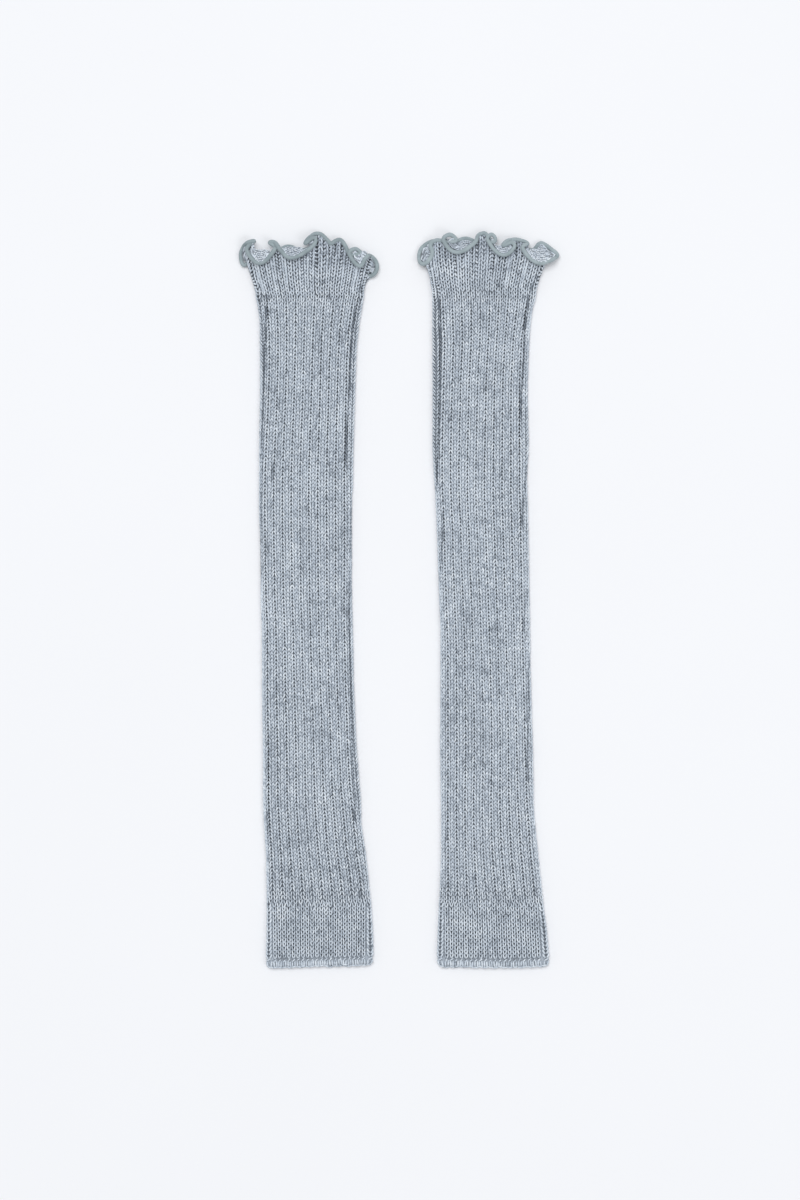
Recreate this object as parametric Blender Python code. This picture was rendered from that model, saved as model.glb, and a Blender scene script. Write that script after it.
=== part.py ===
"""A pair of ribbed knit leg warmers with ruffled tops, laid flat side by side.

Frame: metres, +X across the pair, +Y along the legs towards the ruffled tops, +Z up off the surface.
The origin is on the surface, under the middle of the pair. Each leg warmer is a flattened knit tube:
a 2x2 rib leg, a 1x1 rib ankle cuff, and a 1x1 rib top band that flares into a ruffle, whose edge is
bound with a thick overlocked roll. The tables below are in millimetres, as a knitter would measure.
"""

import math
from collections import namedtuple

import bmesh
import bpy
import numpy as np

MM = 0.001

# The flattened tube: two walls on each other with a thin slot between them.
BACK_WALL = 2.4
SLOT = 0.8
VALLEY_WALL = 1.6
CREST_WALL = 3.0
CUFF_CREST_WALL = 2.7
FOLD_RADIUS = 3.2
SEAM_GAP = 0.3
UNDER_COLUMNS = 4
SIDE_TURN = 0.02
TINY = 1e-6

# Ribs across the front of each tube, and how a rib is cut across.
LEG_RIBS = 11
CUFF_RIBS = 22
LEG_RIB_SHAPE = ((0.0, 0.0), (0.22, 1.0), (0.5, 0.8), (0.78, 1.0))
CUFF_RIB_SHAPE = ((0.0, 0.0), (0.5, 1.0))

# The top band and its ruffle.
BAND_WALL = 1.8
EDGE_WALL = 1.0
BAND_RIB = 0.5
BAND_COLUMNS_PER_RIB = 3
BACK_COLUMNS = 32
BAND_LEVELS = (0.0, 0.2, 0.4, 0.56, 0.68, 0.79, 0.9, 1.0)
BAND_FRONT_MIDDLE = 4.8
BAND_BACK_MIDDLE = 1.0
SIDE_SQUARENESS = 4
FLARE = 3.4
NECK = 44.0
NECK_BELOW = 6.0
TURNED_NECK = 57.0
TURNED_LIFT = 1.5
HORN_RISE = 2.5
FLAT_WITHIN = 0.12
THINNEST = 0.8
SIDE_BLEND = 0.04
NECK_FOLLOWS = 0.6
STANDING_GAP = 0.5
EDGE_GAP = 0.45
CLEAR_GAP = 0.55

# How round the edge's waves are, at their turns and on their flanks.
TURN_PULL = 0.75
FLANK_PULL = 0.55
CURVE_STEPS = 12

# The overlocked roll along the ruffle's edge.
ROLL_RADIUS = 1.35
ROLL_SIDES = 6

# Where the pieces meet, along the leg.
TOP_SEAM = 272.3
CUFF_SEAM = -274.9

# Brings the middle of the pair's outline over the origin.
MOVE_TO_MIDDLE = (-0.11, -0.30, 0.0)

# A cut across a tube: its place along the leg, and its two side folds from the leg's own axis.
Section = namedtuple("Section", "along left right")

# One wave of the ruffle's edge, from the top seam and the leg's own axis: where the roll comes into
# the wave, turns and leaves it, its height, and how far it is turned over to the front (0 to 1).
# The waves run across the front from the left side fold to the right one, and back across the rear.
Wave = namedtuple("Wave", "name in_x in_y turn_x turn_y out_x out_y lift over")

# How far the tube's lower edge hangs down in its middle, and how much higher its right end is.
Hem = namedtuple("Hem", "sag tilt")

Warmer = namedtuple("Warmer", "side axis leg cuff hem waves")

LEFT = Warmer(
    side="left",
    axis=-81.9,
    leg=(
        Section(TOP_SEAM, -47.2, 51.3),
        Section(256.0, -44.1, 48.6),
        Section(229.0, -43.6, 45.0),
        Section(188.5, -43.2, 43.6),
        Section(134.5, -44.1, 41.9),
        Section(80.5, -44.1, 41.0),
        Section(13.0, -43.2, 40.1),
        Section(-27.5, -41.4, 41.0),
        Section(-81.5, -41.4, 42.3),
        Section(-135.5, -40.5, 45.0),
        Section(-180.5, -40.5, 48.6),
        Section(-203.0, -39.6, 48.6),
        Section(-230.0, -37.8, 53.1),
        Section(CUFF_SEAM, -36.9, 57.6),
    ),
    cuff=(
        Section(CUFF_SEAM, -36.9, 57.6),
        Section(-297.5, -36.9, 59.4),
        Section(-324.5, -37.8, 60.3),
        Section(-328.5, -37.0, 59.0),
        Section(-330.5, -35.2, 56.5),
    ),
    hem=Hem(sag=0.2, tilt=1.3),
    waves=(
        Wave("left side", -60.4, 37.4, -61.6, 41.4, -58.6, 46.6, 4.9, 0.0),
        Wave("over 1", -53.4, 42.8, -44.3, 31.2, -34.0, 43.1, 12.2, 1.0),
        Wave("crest 1", -32.2, 51.4, -27.8, 51.3, -23.4, 47.8, 8.4, 0.0),
        Wave("over 2", -19.9, 40.2, -11.7, 35.6, 0.4, 43.6, 11.8, 1.0),
        Wave("crest 2", 3.6, 54.6, 9.9, 58.0, 16.6, 53.5, 6.8, 0.0),
        Wave("dip", 19.6, 50.6, 21.9, 49.3, 24.3, 50.8, 7.0, 0.1),
        Wave("crest 3", 26.8, 52.3, 30.0, 52.0, 31.8, 49.3, 6.8, 0.0),
        Wave("over 3", 38.6, 37.6, 45.5, 29.0, 50.1, 36.3, 12.1, 1.0),
        Wave("right side", 56.1, 38.9, 61.2, 33.8, 60.6, 30.7, 5.4, 0.0),
        Wave("right tuck", 61.0, 27.2, 56.9, 30.3, 51.6, 34.1, 1.9, 0.0),
        Wave("back 1", 46.7, 38.0, 44.2, 39.3, 37.9, 41.8, 1.6, 0.0),
        Wave("back 2", 34.8, 42.9, 27.9, 44.0, 22.5, 42.3, 1.5, 0.0),
        Wave("back 3", 16.2, 44.1, 7.2, 45.9, -0.9, 45.0, 1.9, 0.0),
        Wave("back 4", -7.2, 44.1, -16.5, 45.9, -24.3, 41.6, 2.7, 0.0),
        Wave("back 5", -35.9, 34.7, -41.4, 40.3, -49.0, 40.4, 2.3, 0.0),
        Wave("left tuck", -54.3, 40.3, -56.4, 39.1, -60.5, 34.7, 1.8, 0.0),
    ),
)

RIGHT = Warmer(
    side="right",
    axis=74.7,
    leg=(
        Section(TOP_SEAM, -45.0, 49.1),
        Section(256.0, -45.0, 45.0),
        Section(229.0, -45.0, 43.2),
        Section(188.5, -45.0, 41.9),
        Section(134.5, -45.0, 43.2),
        Section(107.5, -43.2, 41.4),
        Section(80.5, -41.4, 42.3),
        Section(26.5, -39.6, 43.2),
        Section(-27.5, -37.4, 44.1),
        Section(-81.5, -37.4, 45.0),
        Section(-135.5, -37.8, 46.8),
        Section(-189.5, -36.9, 47.2),
        Section(-230.0, -36.9, 51.3),
        Section(CUFF_SEAM, -38.7, 56.2),
    ),
    cuff=(
        Section(CUFF_SEAM, -38.7, 56.2),
        Section(-297.5, -39.6, 59.4),
        Section(-324.5, -40.5, 62.1),
        Section(-328.5, -39.4, 61.0),
        Section(-330.5, -37.4, 58.6),
    ),
    hem=Hem(sag=1.2, tilt=0.0),
    waves=(
        Wave("left side", -57.1, 36.3, -49.9, 37.4, -47.2, 39.8, 6.7, 0.0),
        Wave("crest 1", -45.2, 48.0, -41.0, 52.2, -36.9, 53.2, 7.2, 0.1),
        Wave("over 1", -33.3, 50.4, -22.5, 41.6, -8.1, 48.6, 12.0, 1.0),
        Wave("crest 2", -3.6, 56.7, 0.0, 58.6, 3.2, 56.8, 7.0, 0.0),
        Wave("over 2", 6.9, 48.4, 17.0, 38.6, 27.3, 45.3, 12.0, 1.0),
        Wave("crest 3", 29.6, 51.6, 33.3, 52.8, 35.0, 50.7, 7.4, 0.1),
        Wave("over 3", 35.7, 42.9, 50.3, 34.1, 54.6, 31.1, 12.2, 1.0),
        Wave("right side", 68.3, 36.0, 69.0, 37.8, 68.6, 38.8, 6.5, 0.5),
        Wave("back 1", 65.7, 46.3, 59.5, 48.8, 49.3, 44.3, 2.5, 0.0),
        Wave("back 2", 37.0, 47.2, 31.9, 48.0, 19.8, 44.1, 2.7, 0.0),
        Wave("back 3", 10.8, 45.0, 2.7, 47.7, -4.5, 49.9, 1.9, 0.0),
        Wave("back 4", -9.9, 52.7, -16.2, 53.1, -22.5, 50.9, 2.8, 0.0),
        Wave("back 5", -28.8, 48.1, -34.2, 48.6, -38.7, 49.9, 1.8, 0.0),
        Wave("left turn", -45.0, 50.9, -52.0, 43.6, -56.6, 40.4, 2.5, 0.0),
    ),
)

# Colours and finish of the yarn and of the edge thread.
YARN = ((0.36, 0.40, 0.46, 1.0), 0.9)
CUFF_YARN = ((0.33, 0.37, 0.42, 1.0), 0.9)
EDGE_THREAD = ((0.35, 0.41, 0.43, 1.0), 0.8)


def clear_scene():
    for thing in list(bpy.data.objects):
        bpy.data.objects.remove(thing, do_unlink=True)


def fabric(name, finish):
    colour, roughness = finish
    material = bpy.data.materials.new(name)
    material.use_nodes = True
    shader = material.node_tree.nodes["Principled BSDF"]
    shader.inputs["Base Color"].default_value = colour
    shader.inputs["Roughness"].default_value = roughness
    shader.inputs["Metallic"].default_value = 0.0
    return material


def place(name, points, faces, finish, smooth_angle):
    """Make one closed piece from points in millimetres."""
    mesh = bpy.data.meshes.new(name)
    places = [tuple(MM * (c + m) for c, m in zip(point, MOVE_TO_MIDDLE)) for point in points]
    mesh.from_pydata(places, [], faces)
    work = bmesh.new()
    work.from_mesh(mesh)
    bmesh.ops.recalc_face_normals(work, faces=work.faces)
    work.to_mesh(mesh)
    work.free()
    mesh.shade_smooth()
    mesh.set_sharp_from_angle(angle=math.radians(smooth_angle))
    mesh.materials.append(fabric(name, finish))
    piece = bpy.data.objects.new(name, mesh)
    bpy.context.collection.objects.link(piece)
    return piece


def ring_faces(rows, columns, first, turned):
    """Quads between the rings of a grid that closes on itself across its columns."""
    faces = []
    for row in range(rows - 1):
        for column in range(columns):
            after = (column + 1) % columns
            low = first + row * columns
            high = low + columns
            quad = (low + column, low + after, high + after, high + column)
            faces.append(quad[::-1] if turned else quad)
    return faces


def turns_round(ring, left, right):
    """How far round a flattened ring each point lies: 0 to 1 underneath, then 1 to 2 on top."""
    middle = BACK_WALL + SLOT / 2
    places = []
    for x, _, z in ring:
        share = (x - left) / (right - left)
        if share > 1 + TINY:
            places.append(1 + SIDE_TURN * (z / middle - 1))
        elif share < -TINY:
            places.append(2 - SIDE_TURN * (z / middle - 1))
        elif z < middle:
            places.append(SIDE_TURN + (1 - 2 * SIDE_TURN) * share)
        else:
            places.append(2 - SIDE_TURN - (1 - 2 * SIDE_TURN) * share)
    return places


def cap_faces(outer, inner, outer_turns, inner_turns, turned):
    """Triangles that close the end of a wall, between two rings that need not match in number."""
    faces = []
    i = 0
    j = 0
    while i < len(outer) or j < len(inner):
        next_outer = outer_turns[i + 1] if i + 1 < len(outer) else 2 + outer_turns[0]
        next_inner = inner_turns[j + 1] if j + 1 < len(inner) else 2 + inner_turns[0]
        on_outer = outer[i % len(outer)]
        on_inner = inner[j % len(inner)]
        if j == len(inner) or (i < len(outer) and next_outer <= next_inner):
            i += 1
            face = (on_outer, on_inner, outer[i % len(outer)])
        else:
            j += 1
            face = (on_outer, on_inner, inner[j % len(inner)])
        faces.append(face[::-1] if turned else face)
    return faces


def tube(name, outer_rings, inner_rings, finish, smooth_angle=50):
    """A hollow tube with two open ends, from its outer and inner rings."""
    rows = len(outer_rings)
    outer_count = len(outer_rings[0])
    inner_count = len(inner_rings[0])
    points = [p for ring in outer_rings for p in ring] + [p for ring in inner_rings for p in ring]
    inner_start = rows * outer_count
    faces = ring_faces(rows, outer_count, 0, False)
    faces += ring_faces(rows, inner_count, inner_start, True)
    for row, turned in ((0, False), (rows - 1, True)):
        outer = [row * outer_count + k for k in range(outer_count)]
        inner = [inner_start + row * inner_count + k for k in range(inner_count)]
        if outer_count == inner_count:
            outer_turns = inner_turns = list(range(outer_count))
        else:
            left = outer_rings[row][0][0]
            right = outer_rings[row][UNDER_COLUMNS][0]
            outer_turns = turns_round(outer_rings[row], left, right)
            inner_turns = turns_round(inner_rings[row], left, right)
        faces += cap_faces(outer, inner, outer_turns, inner_turns, turned)
    return place(name, points, faces, finish, smooth_angle)


def side_fold(x, reach, low, high, turns):
    """Points round a side fold, from the bottom to the top, without its two ends."""
    middle = (low + high) / 2
    half = (high - low) / 2
    points = []
    for k in range(1, turns + 1):
        angle = math.pi * (k / (turns + 1) - 0.5)
        points.append((x + reach * math.cos(angle), middle + half * math.sin(angle)))
    return points


def outer_cut(section, ribs, shape, crest_wall):
    """The outside of a flattened tube: flat underneath, folded at the sides, ribbed on top."""
    left = section.left + FOLD_RADIUS
    right = section.right - FOLD_RADIUS
    top = BACK_WALL + SLOT + VALLEY_WALL
    rise = crest_wall - VALLEY_WALL
    cut = [(left + (right - left) * k / UNDER_COLUMNS, 0.0) for k in range(UNDER_COLUMNS + 1)]
    cut += side_fold(right, FOLD_RADIUS, 0.0, top, 4)
    width = right - left
    for rib in range(ribs):
        for along, height in shape:
            cut.append((right - width * (rib + along) / ribs, top + rise * height))
    cut.append((left, top))
    fold = side_fold(left, -FOLD_RADIUS, 0.0, top, 4)
    return cut + fold[::-1]


def inner_cut(section, ribs):
    """The plain inside of a flattened tube, a thin slot with a point under each valley."""
    left = section.left + FOLD_RADIUS
    right = section.right - FOLD_RADIUS
    width = right - left
    cut = [(left + width * k / UNDER_COLUMNS, BACK_WALL) for k in range(UNDER_COLUMNS + 1)]
    cut.append((right + SLOT / 2, BACK_WALL + SLOT / 2))
    cut += [(right - width * rib / ribs, BACK_WALL + SLOT) for rib in range(ribs + 1)]
    cut.append((left - SLOT / 2, BACK_WALL + SLOT / 2))
    return cut


def hem_drop(warmer, x, section):
    """How far the lower edge hangs below its level at a place across the tube."""
    across = 2 * (x - section.left) / (section.right - section.left) - 1
    return warmer.hem.sag * (1 - across * across) - warmer.hem.tilt * across


def straight_tube(warmer, name, sections, ribs, shape, crest_wall, finish, hem=False):
    outer_rings = []
    inner_rings = []
    for number, section in enumerate(sections):
        share = number / (len(sections) - 1) if hem else 0.0
        for rings, cut in (
            (outer_rings, outer_cut(section, ribs, shape, crest_wall)),
            (inner_rings, inner_cut(section, ribs)),
        ):
            rings.append(
                [
                    (warmer.axis + x, section.along - share * hem_drop(warmer, x, section), z)
                    for x, z in cut
                ]
            )
    return tube(f"{warmer.side}_{name}", outer_rings, inner_rings, finish)


def edge_curve(waves):
    """The roll's middle line as points close together. Each point: x, y, height, turned over."""
    stations = []
    for wave in waves:
        for x, y in ((wave.in_x, wave.in_y), (wave.turn_x, wave.turn_y), (wave.out_x, wave.out_y)):
            stations.append((x, y, wave.lift, wave.over))
    stations = np.array(stations)
    count = len(stations)
    pulls = np.where(np.arange(count) % 3 == 1, TURN_PULL, FLANK_PULL)[:, None]
    slopes = pulls * (np.roll(stations, -1, axis=0) - np.roll(stations, 1, axis=0))
    curve = []
    for k in range(count):
        after = (k + 1) % count
        for t in np.arange(CURVE_STEPS) / CURVE_STEPS:
            curve.append(
                (2 * t**3 - 3 * t**2 + 1) * stations[k]
                + (t**3 - 2 * t**2 + t) * slopes[k]
                + (3 * t**2 - 2 * t**3) * stations[after]
                + (t**3 - t**2) * slopes[after]
            )
    return np.array(curve)


def edge_places(waves):
    """The edge curve from the left fold, and for each of its points its place round the band."""
    curve = edge_curve(waves)
    last = [wave.name for wave in waves].index("right side")
    turn = (3 * last + 3) * CURVE_STEPS
    curve = np.roll(curve, CURVE_STEPS // 2, axis=0)
    steps = np.linalg.norm(np.roll(curve, -1, axis=0) - curve, axis=1)
    run = np.concatenate(([0.0], np.cumsum(steps)))
    front = run[: turn + 1] / run[turn]
    back = 1 + (run[turn + 1 :] - run[turn]) / (run[-1] - run[turn])
    return np.vstack((curve, curve[:1])), np.concatenate((front, back))


def root_columns():
    """Where the columns of the band's wall stand, once round the tube from the left fold."""
    front = LEG_RIBS * 2 * BAND_COLUMNS_PER_RIB
    roots = [k / front for k in range(front)]
    for k in range(BACK_COLUMNS):
        share = k / BACK_COLUMNS
        roots.append(1 + (share + (1 - math.cos(math.pi * share)) / 2) / 2)
    return roots


def squared_circle(root):
    """A place round the flattened tube: across from -1 to 1, and up from -1 to 1."""
    if root <= 1:
        across = 2 * root - 1
        side = 1
    else:
        across = 3 - 2 * root
        side = -1
    up = max(0.0, 1 - abs(across) ** SIDE_SQUARENESS) ** (1 / SIDE_SQUARENESS)
    return across, side * up


def band_station(left, right, along, root, opened):
    """A point of the wall's middle surface on the flattened tube."""
    across, up = squared_circle(root)
    half = (right - left) / 2 - BAND_WALL / 2
    front = BAND_FRONT_MIDDLE + opened
    middle = (front + BAND_BACK_MIDDLE) / 2
    x = (left + right) / 2 + half * across
    return np.array((x, along, middle + (front - BAND_BACK_MIDDLE) / 2 * up))


def rise_of(over):
    """How far the edge stands up where it passes from lying open to turned over."""
    return HORN_RISE * 4 * over * (1 - over)


def share_of_back(root):
    """1 on the back and at the side folds, and down to 0 on the front a little way in from them."""
    if root >= 1:
        return 1.0
    return max(0.0, 1 - min(root, 1 - root) / SIDE_BLEND)


def inward_from_roll(travel, over, root):
    """The way from the roll into the cloth: straight across the roll, to the side the cloth lies on."""
    right = np.array((travel[1], -travel[0], 0.0)) / max(0.01, math.hypot(travel[0], travel[1]))
    turn = math.pi * over
    front = math.cos(turn) * right + np.array((0.0, 0.0, -math.sin(turn)))
    back = share_of_back(root)
    inward = (1 - back) * front + np.array((0.0, -back, 0.0))
    inward -= travel * np.dot(travel, inward)
    return inward / np.linalg.norm(inward)


def ruffle_columns(warmer):
    """For each column of the wall: its four control points, and the roll's middle."""
    curve, roots = edge_places(warmer.waves)
    seam = warmer.leg[0]
    travels = np.gradient(curve[:, :3], axis=0)
    columns = []
    for root in root_columns():
        x, y, lift, over = (float(np.interp(root, roots, column)) for column in curve.T)
        over = min(max(over, 0.0), 1.0)
        travel = np.array([float(np.interp(root, roots, column)) for column in travels.T])
        travel /= np.linalg.norm(travel)
        start = band_station(seam.left, seam.right, 0.0, root, 0.0)
        along = (1 - over) * min(NECK, y - NECK_BELOW) + over * TURNED_NECK
        middle = band_station(seam.left - FLARE, seam.right + FLARE, 0.55 * along, root, 0.8)
        neck = band_station(seam.left - 2 * FLARE, seam.right + 2 * FLARE, along, root, 1.2)
        roll = np.array((x, y, lift + rise_of(over)))
        reach = ROLL_RADIUS + EDGE_GAP + STANDING_GAP * math.sin(math.pi * over)
        edge = roll + inward_from_roll(travel, over, root) * reach
        neck += (NECK_FOLLOWS * (edge[0] - neck[0]), 0.0, TURNED_LIFT * over)
        columns.append((start, middle, neck, edge, roll))
    return columns


def bezier(points, t):
    a, b, c, d = points
    s = 1 - t
    return a * s**3 + 3 * b * s * s * t + 3 * c * s * t * t + d * t**3


def outward_normals(grid):
    """The outward normal at each point of a grid of rows of rings."""
    around = np.roll(grid, -1, axis=1) - np.roll(grid, 1, axis=1)
    along = np.gradient(grid, axis=0)
    normal = np.cross(around, along)
    normal[0, :, 1] = 0.0
    return normal / np.linalg.norm(normal, axis=2, keepdims=True)


def clear_of_roll(rings, rolls):
    """Move points of the wall that come too close to the roll straight away from its middle line."""
    starts = rolls
    spans = np.roll(rolls, -1, axis=0) - rolls
    lengths = np.sum(spans * spans, axis=1)
    points = rings.reshape(-1, 3)
    offsets = points[:, None, :] - starts[None, :, :]
    along = np.clip(np.sum(offsets * spans[None, :, :], axis=2) / lengths, 0.0, 1.0)
    away = offsets - along[:, :, None] * spans[None, :, :]
    distance = np.linalg.norm(away, axis=2)
    nearest = np.argmin(distance, axis=1)
    rows = np.arange(len(points))
    gap = distance[rows, nearest][:, None]
    way = away[rows, nearest] / np.maximum(gap, 1e-6)
    points = points + way * np.maximum(0.0, ROLL_RADIUS + CLEAR_GAP - gap)
    return points.reshape(rings.shape)


def band_and_roll(warmer):
    columns = ruffle_columns(warmer)
    grid = np.array([[bezier(c[:4], t) for c in columns] for t in BAND_LEVELS])
    normals = outward_normals(grid)
    level = np.array(BAND_LEVELS)[:, None, None]
    half = (BAND_WALL + (EDGE_WALL - BAND_WALL) * level) / 2
    front = LEG_RIBS * 2 * BAND_COLUMNS_PER_RIB
    crest = np.array([1.0 if k < front and k % BAND_COLUMNS_PER_RIB else 0.0 for k in range(len(columns))])
    relief = BAND_RIB * crest[None, :, None] * (1 - level)
    outer = grid + normals * (half + relief)
    inner = grid - normals * half
    rolls = np.array([column[4] for column in columns])
    outer = clear_of_roll(outer, rolls)
    inner = clear_of_roll(inner, rolls)
    outer[:, :, 2] = np.where(outer[:, :, 2] < FLAT_WITHIN, 0.0, outer[:, :, 2])
    inner[:, :, 2] = np.maximum(inner[:, :, 2], THINNEST)
    shift = np.array((warmer.axis, TOP_SEAM + SEAM_GAP / 2, 0.0))
    band = tube(
        f"{warmer.side}_top_band",
        [list(map(tuple, ring + shift)) for ring in outer],
        [list(map(tuple, ring + shift)) for ring in inner],
        YARN,
    )
    roll = edge_roll(warmer, columns, shift)
    return band, roll


def carried_frames(middles):
    """Two directions across a closed curve at each of its points, carried along without twist."""
    count = len(middles)
    travel = np.roll(middles, -1, axis=0) - np.roll(middles, 1, axis=0)
    travel /= np.linalg.norm(travel, axis=1, keepdims=True)
    first = np.cross(travel[0], (0.0, 0.0, 1.0))
    frames = []
    for k in range(count + 1):
        along = travel[k % count]
        first = first - along * np.dot(along, first)
        first /= np.linalg.norm(first)
        frames.append((first, np.cross(along, first)))
    start, across = frames[0]
    end = frames[-1][0]
    slip = math.atan2(np.dot(end, across), np.dot(end, start))
    return [turned(frames[k], -slip * k / count) for k in range(count)]


def turned(frame, angle):
    first, second = frame
    cos, sin = math.cos(angle), math.sin(angle)
    return first * cos + second * sin, second * cos - first * sin


def edge_roll(warmer, columns, shift):
    middles = np.array([column[4] for column in columns]) + shift
    points = []
    for middle, (first, second) in zip(middles, carried_frames(middles)):
        for k in range(ROLL_SIDES):
            angle = 2 * math.pi * k / ROLL_SIDES
            points.append(middle + ROLL_RADIUS * (math.cos(angle) * first + math.sin(angle) * second))
    count = len(middles)
    faces = []
    for k in range(count):
        here = k * ROLL_SIDES
        there = ((k + 1) % count) * ROLL_SIDES
        for s in range(ROLL_SIDES):
            t = (s + 1) % ROLL_SIDES
            faces.append((here + s, here + t, there + t, there + s))
    return place(f"{warmer.side}_edge_roll", points, faces, EDGE_THREAD, 60)


def leg_sections(warmer):
    """The leg stops short of the top band and of the cuff by the gap at a seam."""
    first = warmer.leg[0]
    last = warmer.leg[-1]
    start = first._replace(along=first.along - SEAM_GAP / 2)
    end = last._replace(along=last.along + SEAM_GAP / 2)
    return (start, *warmer.leg[1:-1], end)


def cuff_sections(warmer):
    first = warmer.cuff[0]
    return (first._replace(along=first.along - SEAM_GAP / 2), *warmer.cuff[1:])


def build(warmer):
    straight_tube(warmer, "leg", leg_sections(warmer), LEG_RIBS, LEG_RIB_SHAPE, CREST_WALL, YARN)
    straight_tube(
        warmer,
        "ankle_cuff",
        cuff_sections(warmer),
        CUFF_RIBS,
        CUFF_RIB_SHAPE,
        CUFF_CREST_WALL,
        CUFF_YARN,
        hem=True,
    )
    band_and_roll(warmer)


clear_scene()
for each in (LEFT, RIGHT):
    build(each)
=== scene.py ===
"""A pair of ribbed knit leg warmers with ruffled tops, laid flat, stitch by stitch."""

import math
from collections import namedtuple

import bpy
import numpy as np
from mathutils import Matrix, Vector


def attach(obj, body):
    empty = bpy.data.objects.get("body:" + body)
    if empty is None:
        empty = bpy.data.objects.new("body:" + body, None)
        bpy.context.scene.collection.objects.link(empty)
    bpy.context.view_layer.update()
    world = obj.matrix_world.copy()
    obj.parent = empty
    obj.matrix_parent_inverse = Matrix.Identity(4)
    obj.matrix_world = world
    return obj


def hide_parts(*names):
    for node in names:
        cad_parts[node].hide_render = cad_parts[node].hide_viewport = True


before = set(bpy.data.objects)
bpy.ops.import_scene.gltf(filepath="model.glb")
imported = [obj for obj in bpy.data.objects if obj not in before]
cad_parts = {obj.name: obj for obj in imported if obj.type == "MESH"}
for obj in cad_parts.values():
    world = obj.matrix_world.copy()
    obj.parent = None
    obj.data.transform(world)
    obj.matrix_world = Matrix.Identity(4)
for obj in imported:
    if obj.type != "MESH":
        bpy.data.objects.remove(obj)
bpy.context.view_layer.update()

MM = 0.001
TAU = 2 * math.pi

# ---------------------------------------------------------------- sizes, in millimetres

# How the photo's pixels turn into places: a pixel's size, the rows of the frame's origin, of the band's
# seam and of the ruffle's widest part, and the camera's height.
PX = 0.9
IMAGE_MIDDLE_ROW = 599.17
SEAM_ROW = 297.0
EDGE_ROW = 262.0
SEEN_FROM = 4004.0

# The seams, along the leg, and how far the lighter painted shade of the cloth beside them reaches.
TOP_SEAM = 272.0
CUFF_SEAM = -275.2
SEAM_REACH = 12
SEAM_SHADE = 0.12

# The flattened tube, as the middles of its yarns. It is measured round in ribs: QUARTER of them lie
# from the front's middle line to a side fold, and the outermost valleys are FRONT_RIBS apart.
YARN = 0.9
TOP_Z = 5.2
UNDER_Z = 0.95
FOLD_REACH = 2.4
LEAST_VALLEY = 0.6
FRONT_RIBS = 10
RIBS_ROUND = 22
QUARTER = RIBS_ROUND / 4

# The cloth under the stitches, and the slot between the front and the back.
SHELL_DEPTH = 0.75
SLOT_LOW = 2.35
SLOT_HIGH = 2.85
SLOT_INSET = 1.6
CLOTH_PER_RIB = 8
LEAST_Z = 0.05
SEAM_BLEND = 14.0

# The knitting: its rows, and its wales round the tube, counted in ribs.
LEG_ROWS = 167
CUFF_ROWS = 16
BAND_ROWS = 15
FRONT_WALES = np.arange(-11.5, 12) / 2
ALL_WALES = np.arange(2 * RIBS_ROUND) / 2 + 0.25 - QUARTER

# A strand of yarn, from tip to tip: its rings' places along it, and their painted shade, darker at the
# tips.
STITCH_SIDES = 5
STITCH_RINGS = 3
ALONG_STITCH = np.array((0.0, 0.2, 0.5, 0.82, 1.0))
TIP_PAINTED_SHADE = -0.15
RING_PAINTED_SHADE = (-0.04, 0.05, -0.03)
REACH_ROWS = 1.38
LEAST_STITCH_Z = 0.02

# An open stitch's leg: how far it lies from the wale's middle, in ribs, its height and its thickness.
OPEN_STITCH = np.array((0.03, 0.058, 0.128, 0.165, 0.155))
OPEN_HEIGHT = np.array((-0.45, 0.38, 0.40, 0.08, -0.60))
OPEN_SHAPE = np.array((0.92, 1.0, 0.88))
OPEN_TALL = 0.66
ARC_SHAPE = np.array((0.72, 1.0, 0.72))

# The two legs of a stitch in a 2x2 rib, from the rib's middle: the inner and the outer one.
PairLeg = namedtuple("PairLeg", "foot head bow reach tip wide shape")
INNER_LEG = PairLeg(0.305, 0.025, 0.015, 0.34, 0.40, 0.80, (0.62, 1.0, 0.98))
OUTER_LEG = PairLeg(0.34, 0.48, 0.01, 0.05, 0.70, 0.78, (0.70, 1.0, 0.75))
PAIR_FOOT = 0.85
PAIR_TALL = 0.70
RIB_DEEP = 1.3

# Between the leg's ribs and the band or cuff, the stitches open over a few rows.
OPEN_ROWS = 4.0
LOOSE_ROWS = 3.0
STRAY_ACROSS = 0.02
STRAY_ALONG = 0.06

# Slow waves of the rows and the ribs: how far apart, in ribs and rows, and how large.
SWAY = ((5.0, 20.0), 0.22)
DRIFT = ((6.0, 30.0), 0.07)

# The creases beside the side folds: their width and ends, and how far they sink the stitches.
CREASE_WIDTH = 0.85
CREASE_ENDS = 9.0
CREASE_SINK = 1.3
BAND_CREASE_SINK = 1.1
# Painted shade: how much darker the stitches and the cloth are in a crease.
CREASE_PAINTED_SHADE = 0.6
BAND_CREASE_PAINTED_SHADE = 0.5
CLOTH_CREASE_SINK = 0.6
CLOTH_CREASE_SHADE = 0.7

# The hem's rounding towards the floor, its lowest height, its scallops and how it turns under.
HEM_ROUND = 4.5
HEM_LOW = 0.36
HEM_SCALLOP = 0.4
HEM_TURN = 1.5
HEM_LEAN = 0.75
CUFF_VALLEY = 5.2

# The ruffle: the band's middle heights, how far its edge rises where it turns over, a column's length,
# and how the curve of the edge runs through its waves.
BAND_MIDDLE_FRONT = 5.2
BAND_MIDDLE_BACK = 1.0
HORN_RISE = 2.0
COLUMN_LENGTH = 54.0
RIDGE_DROP = 1.6
SIDE_BLEND = 0.04
SIDE_SQUARENESS = 12
CURVE_STEPS = 16
TURN_PULL = 0.75
FLANK_PULL = 0.55
SLACK = 0.06
SETTLE = 0.3
BAND_ROW_MIDDLE = 0.47

# The band's outer and inner cloth under its stitches, each with how much further at the seam, and the
# bumps inside.
BAND_OUTER = (0.35, 0.4)
BAND_INNER = (1.15, 0.3)
BAND_INSIDE = 1.4
INSIDE_SHOWN = 0.75

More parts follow.
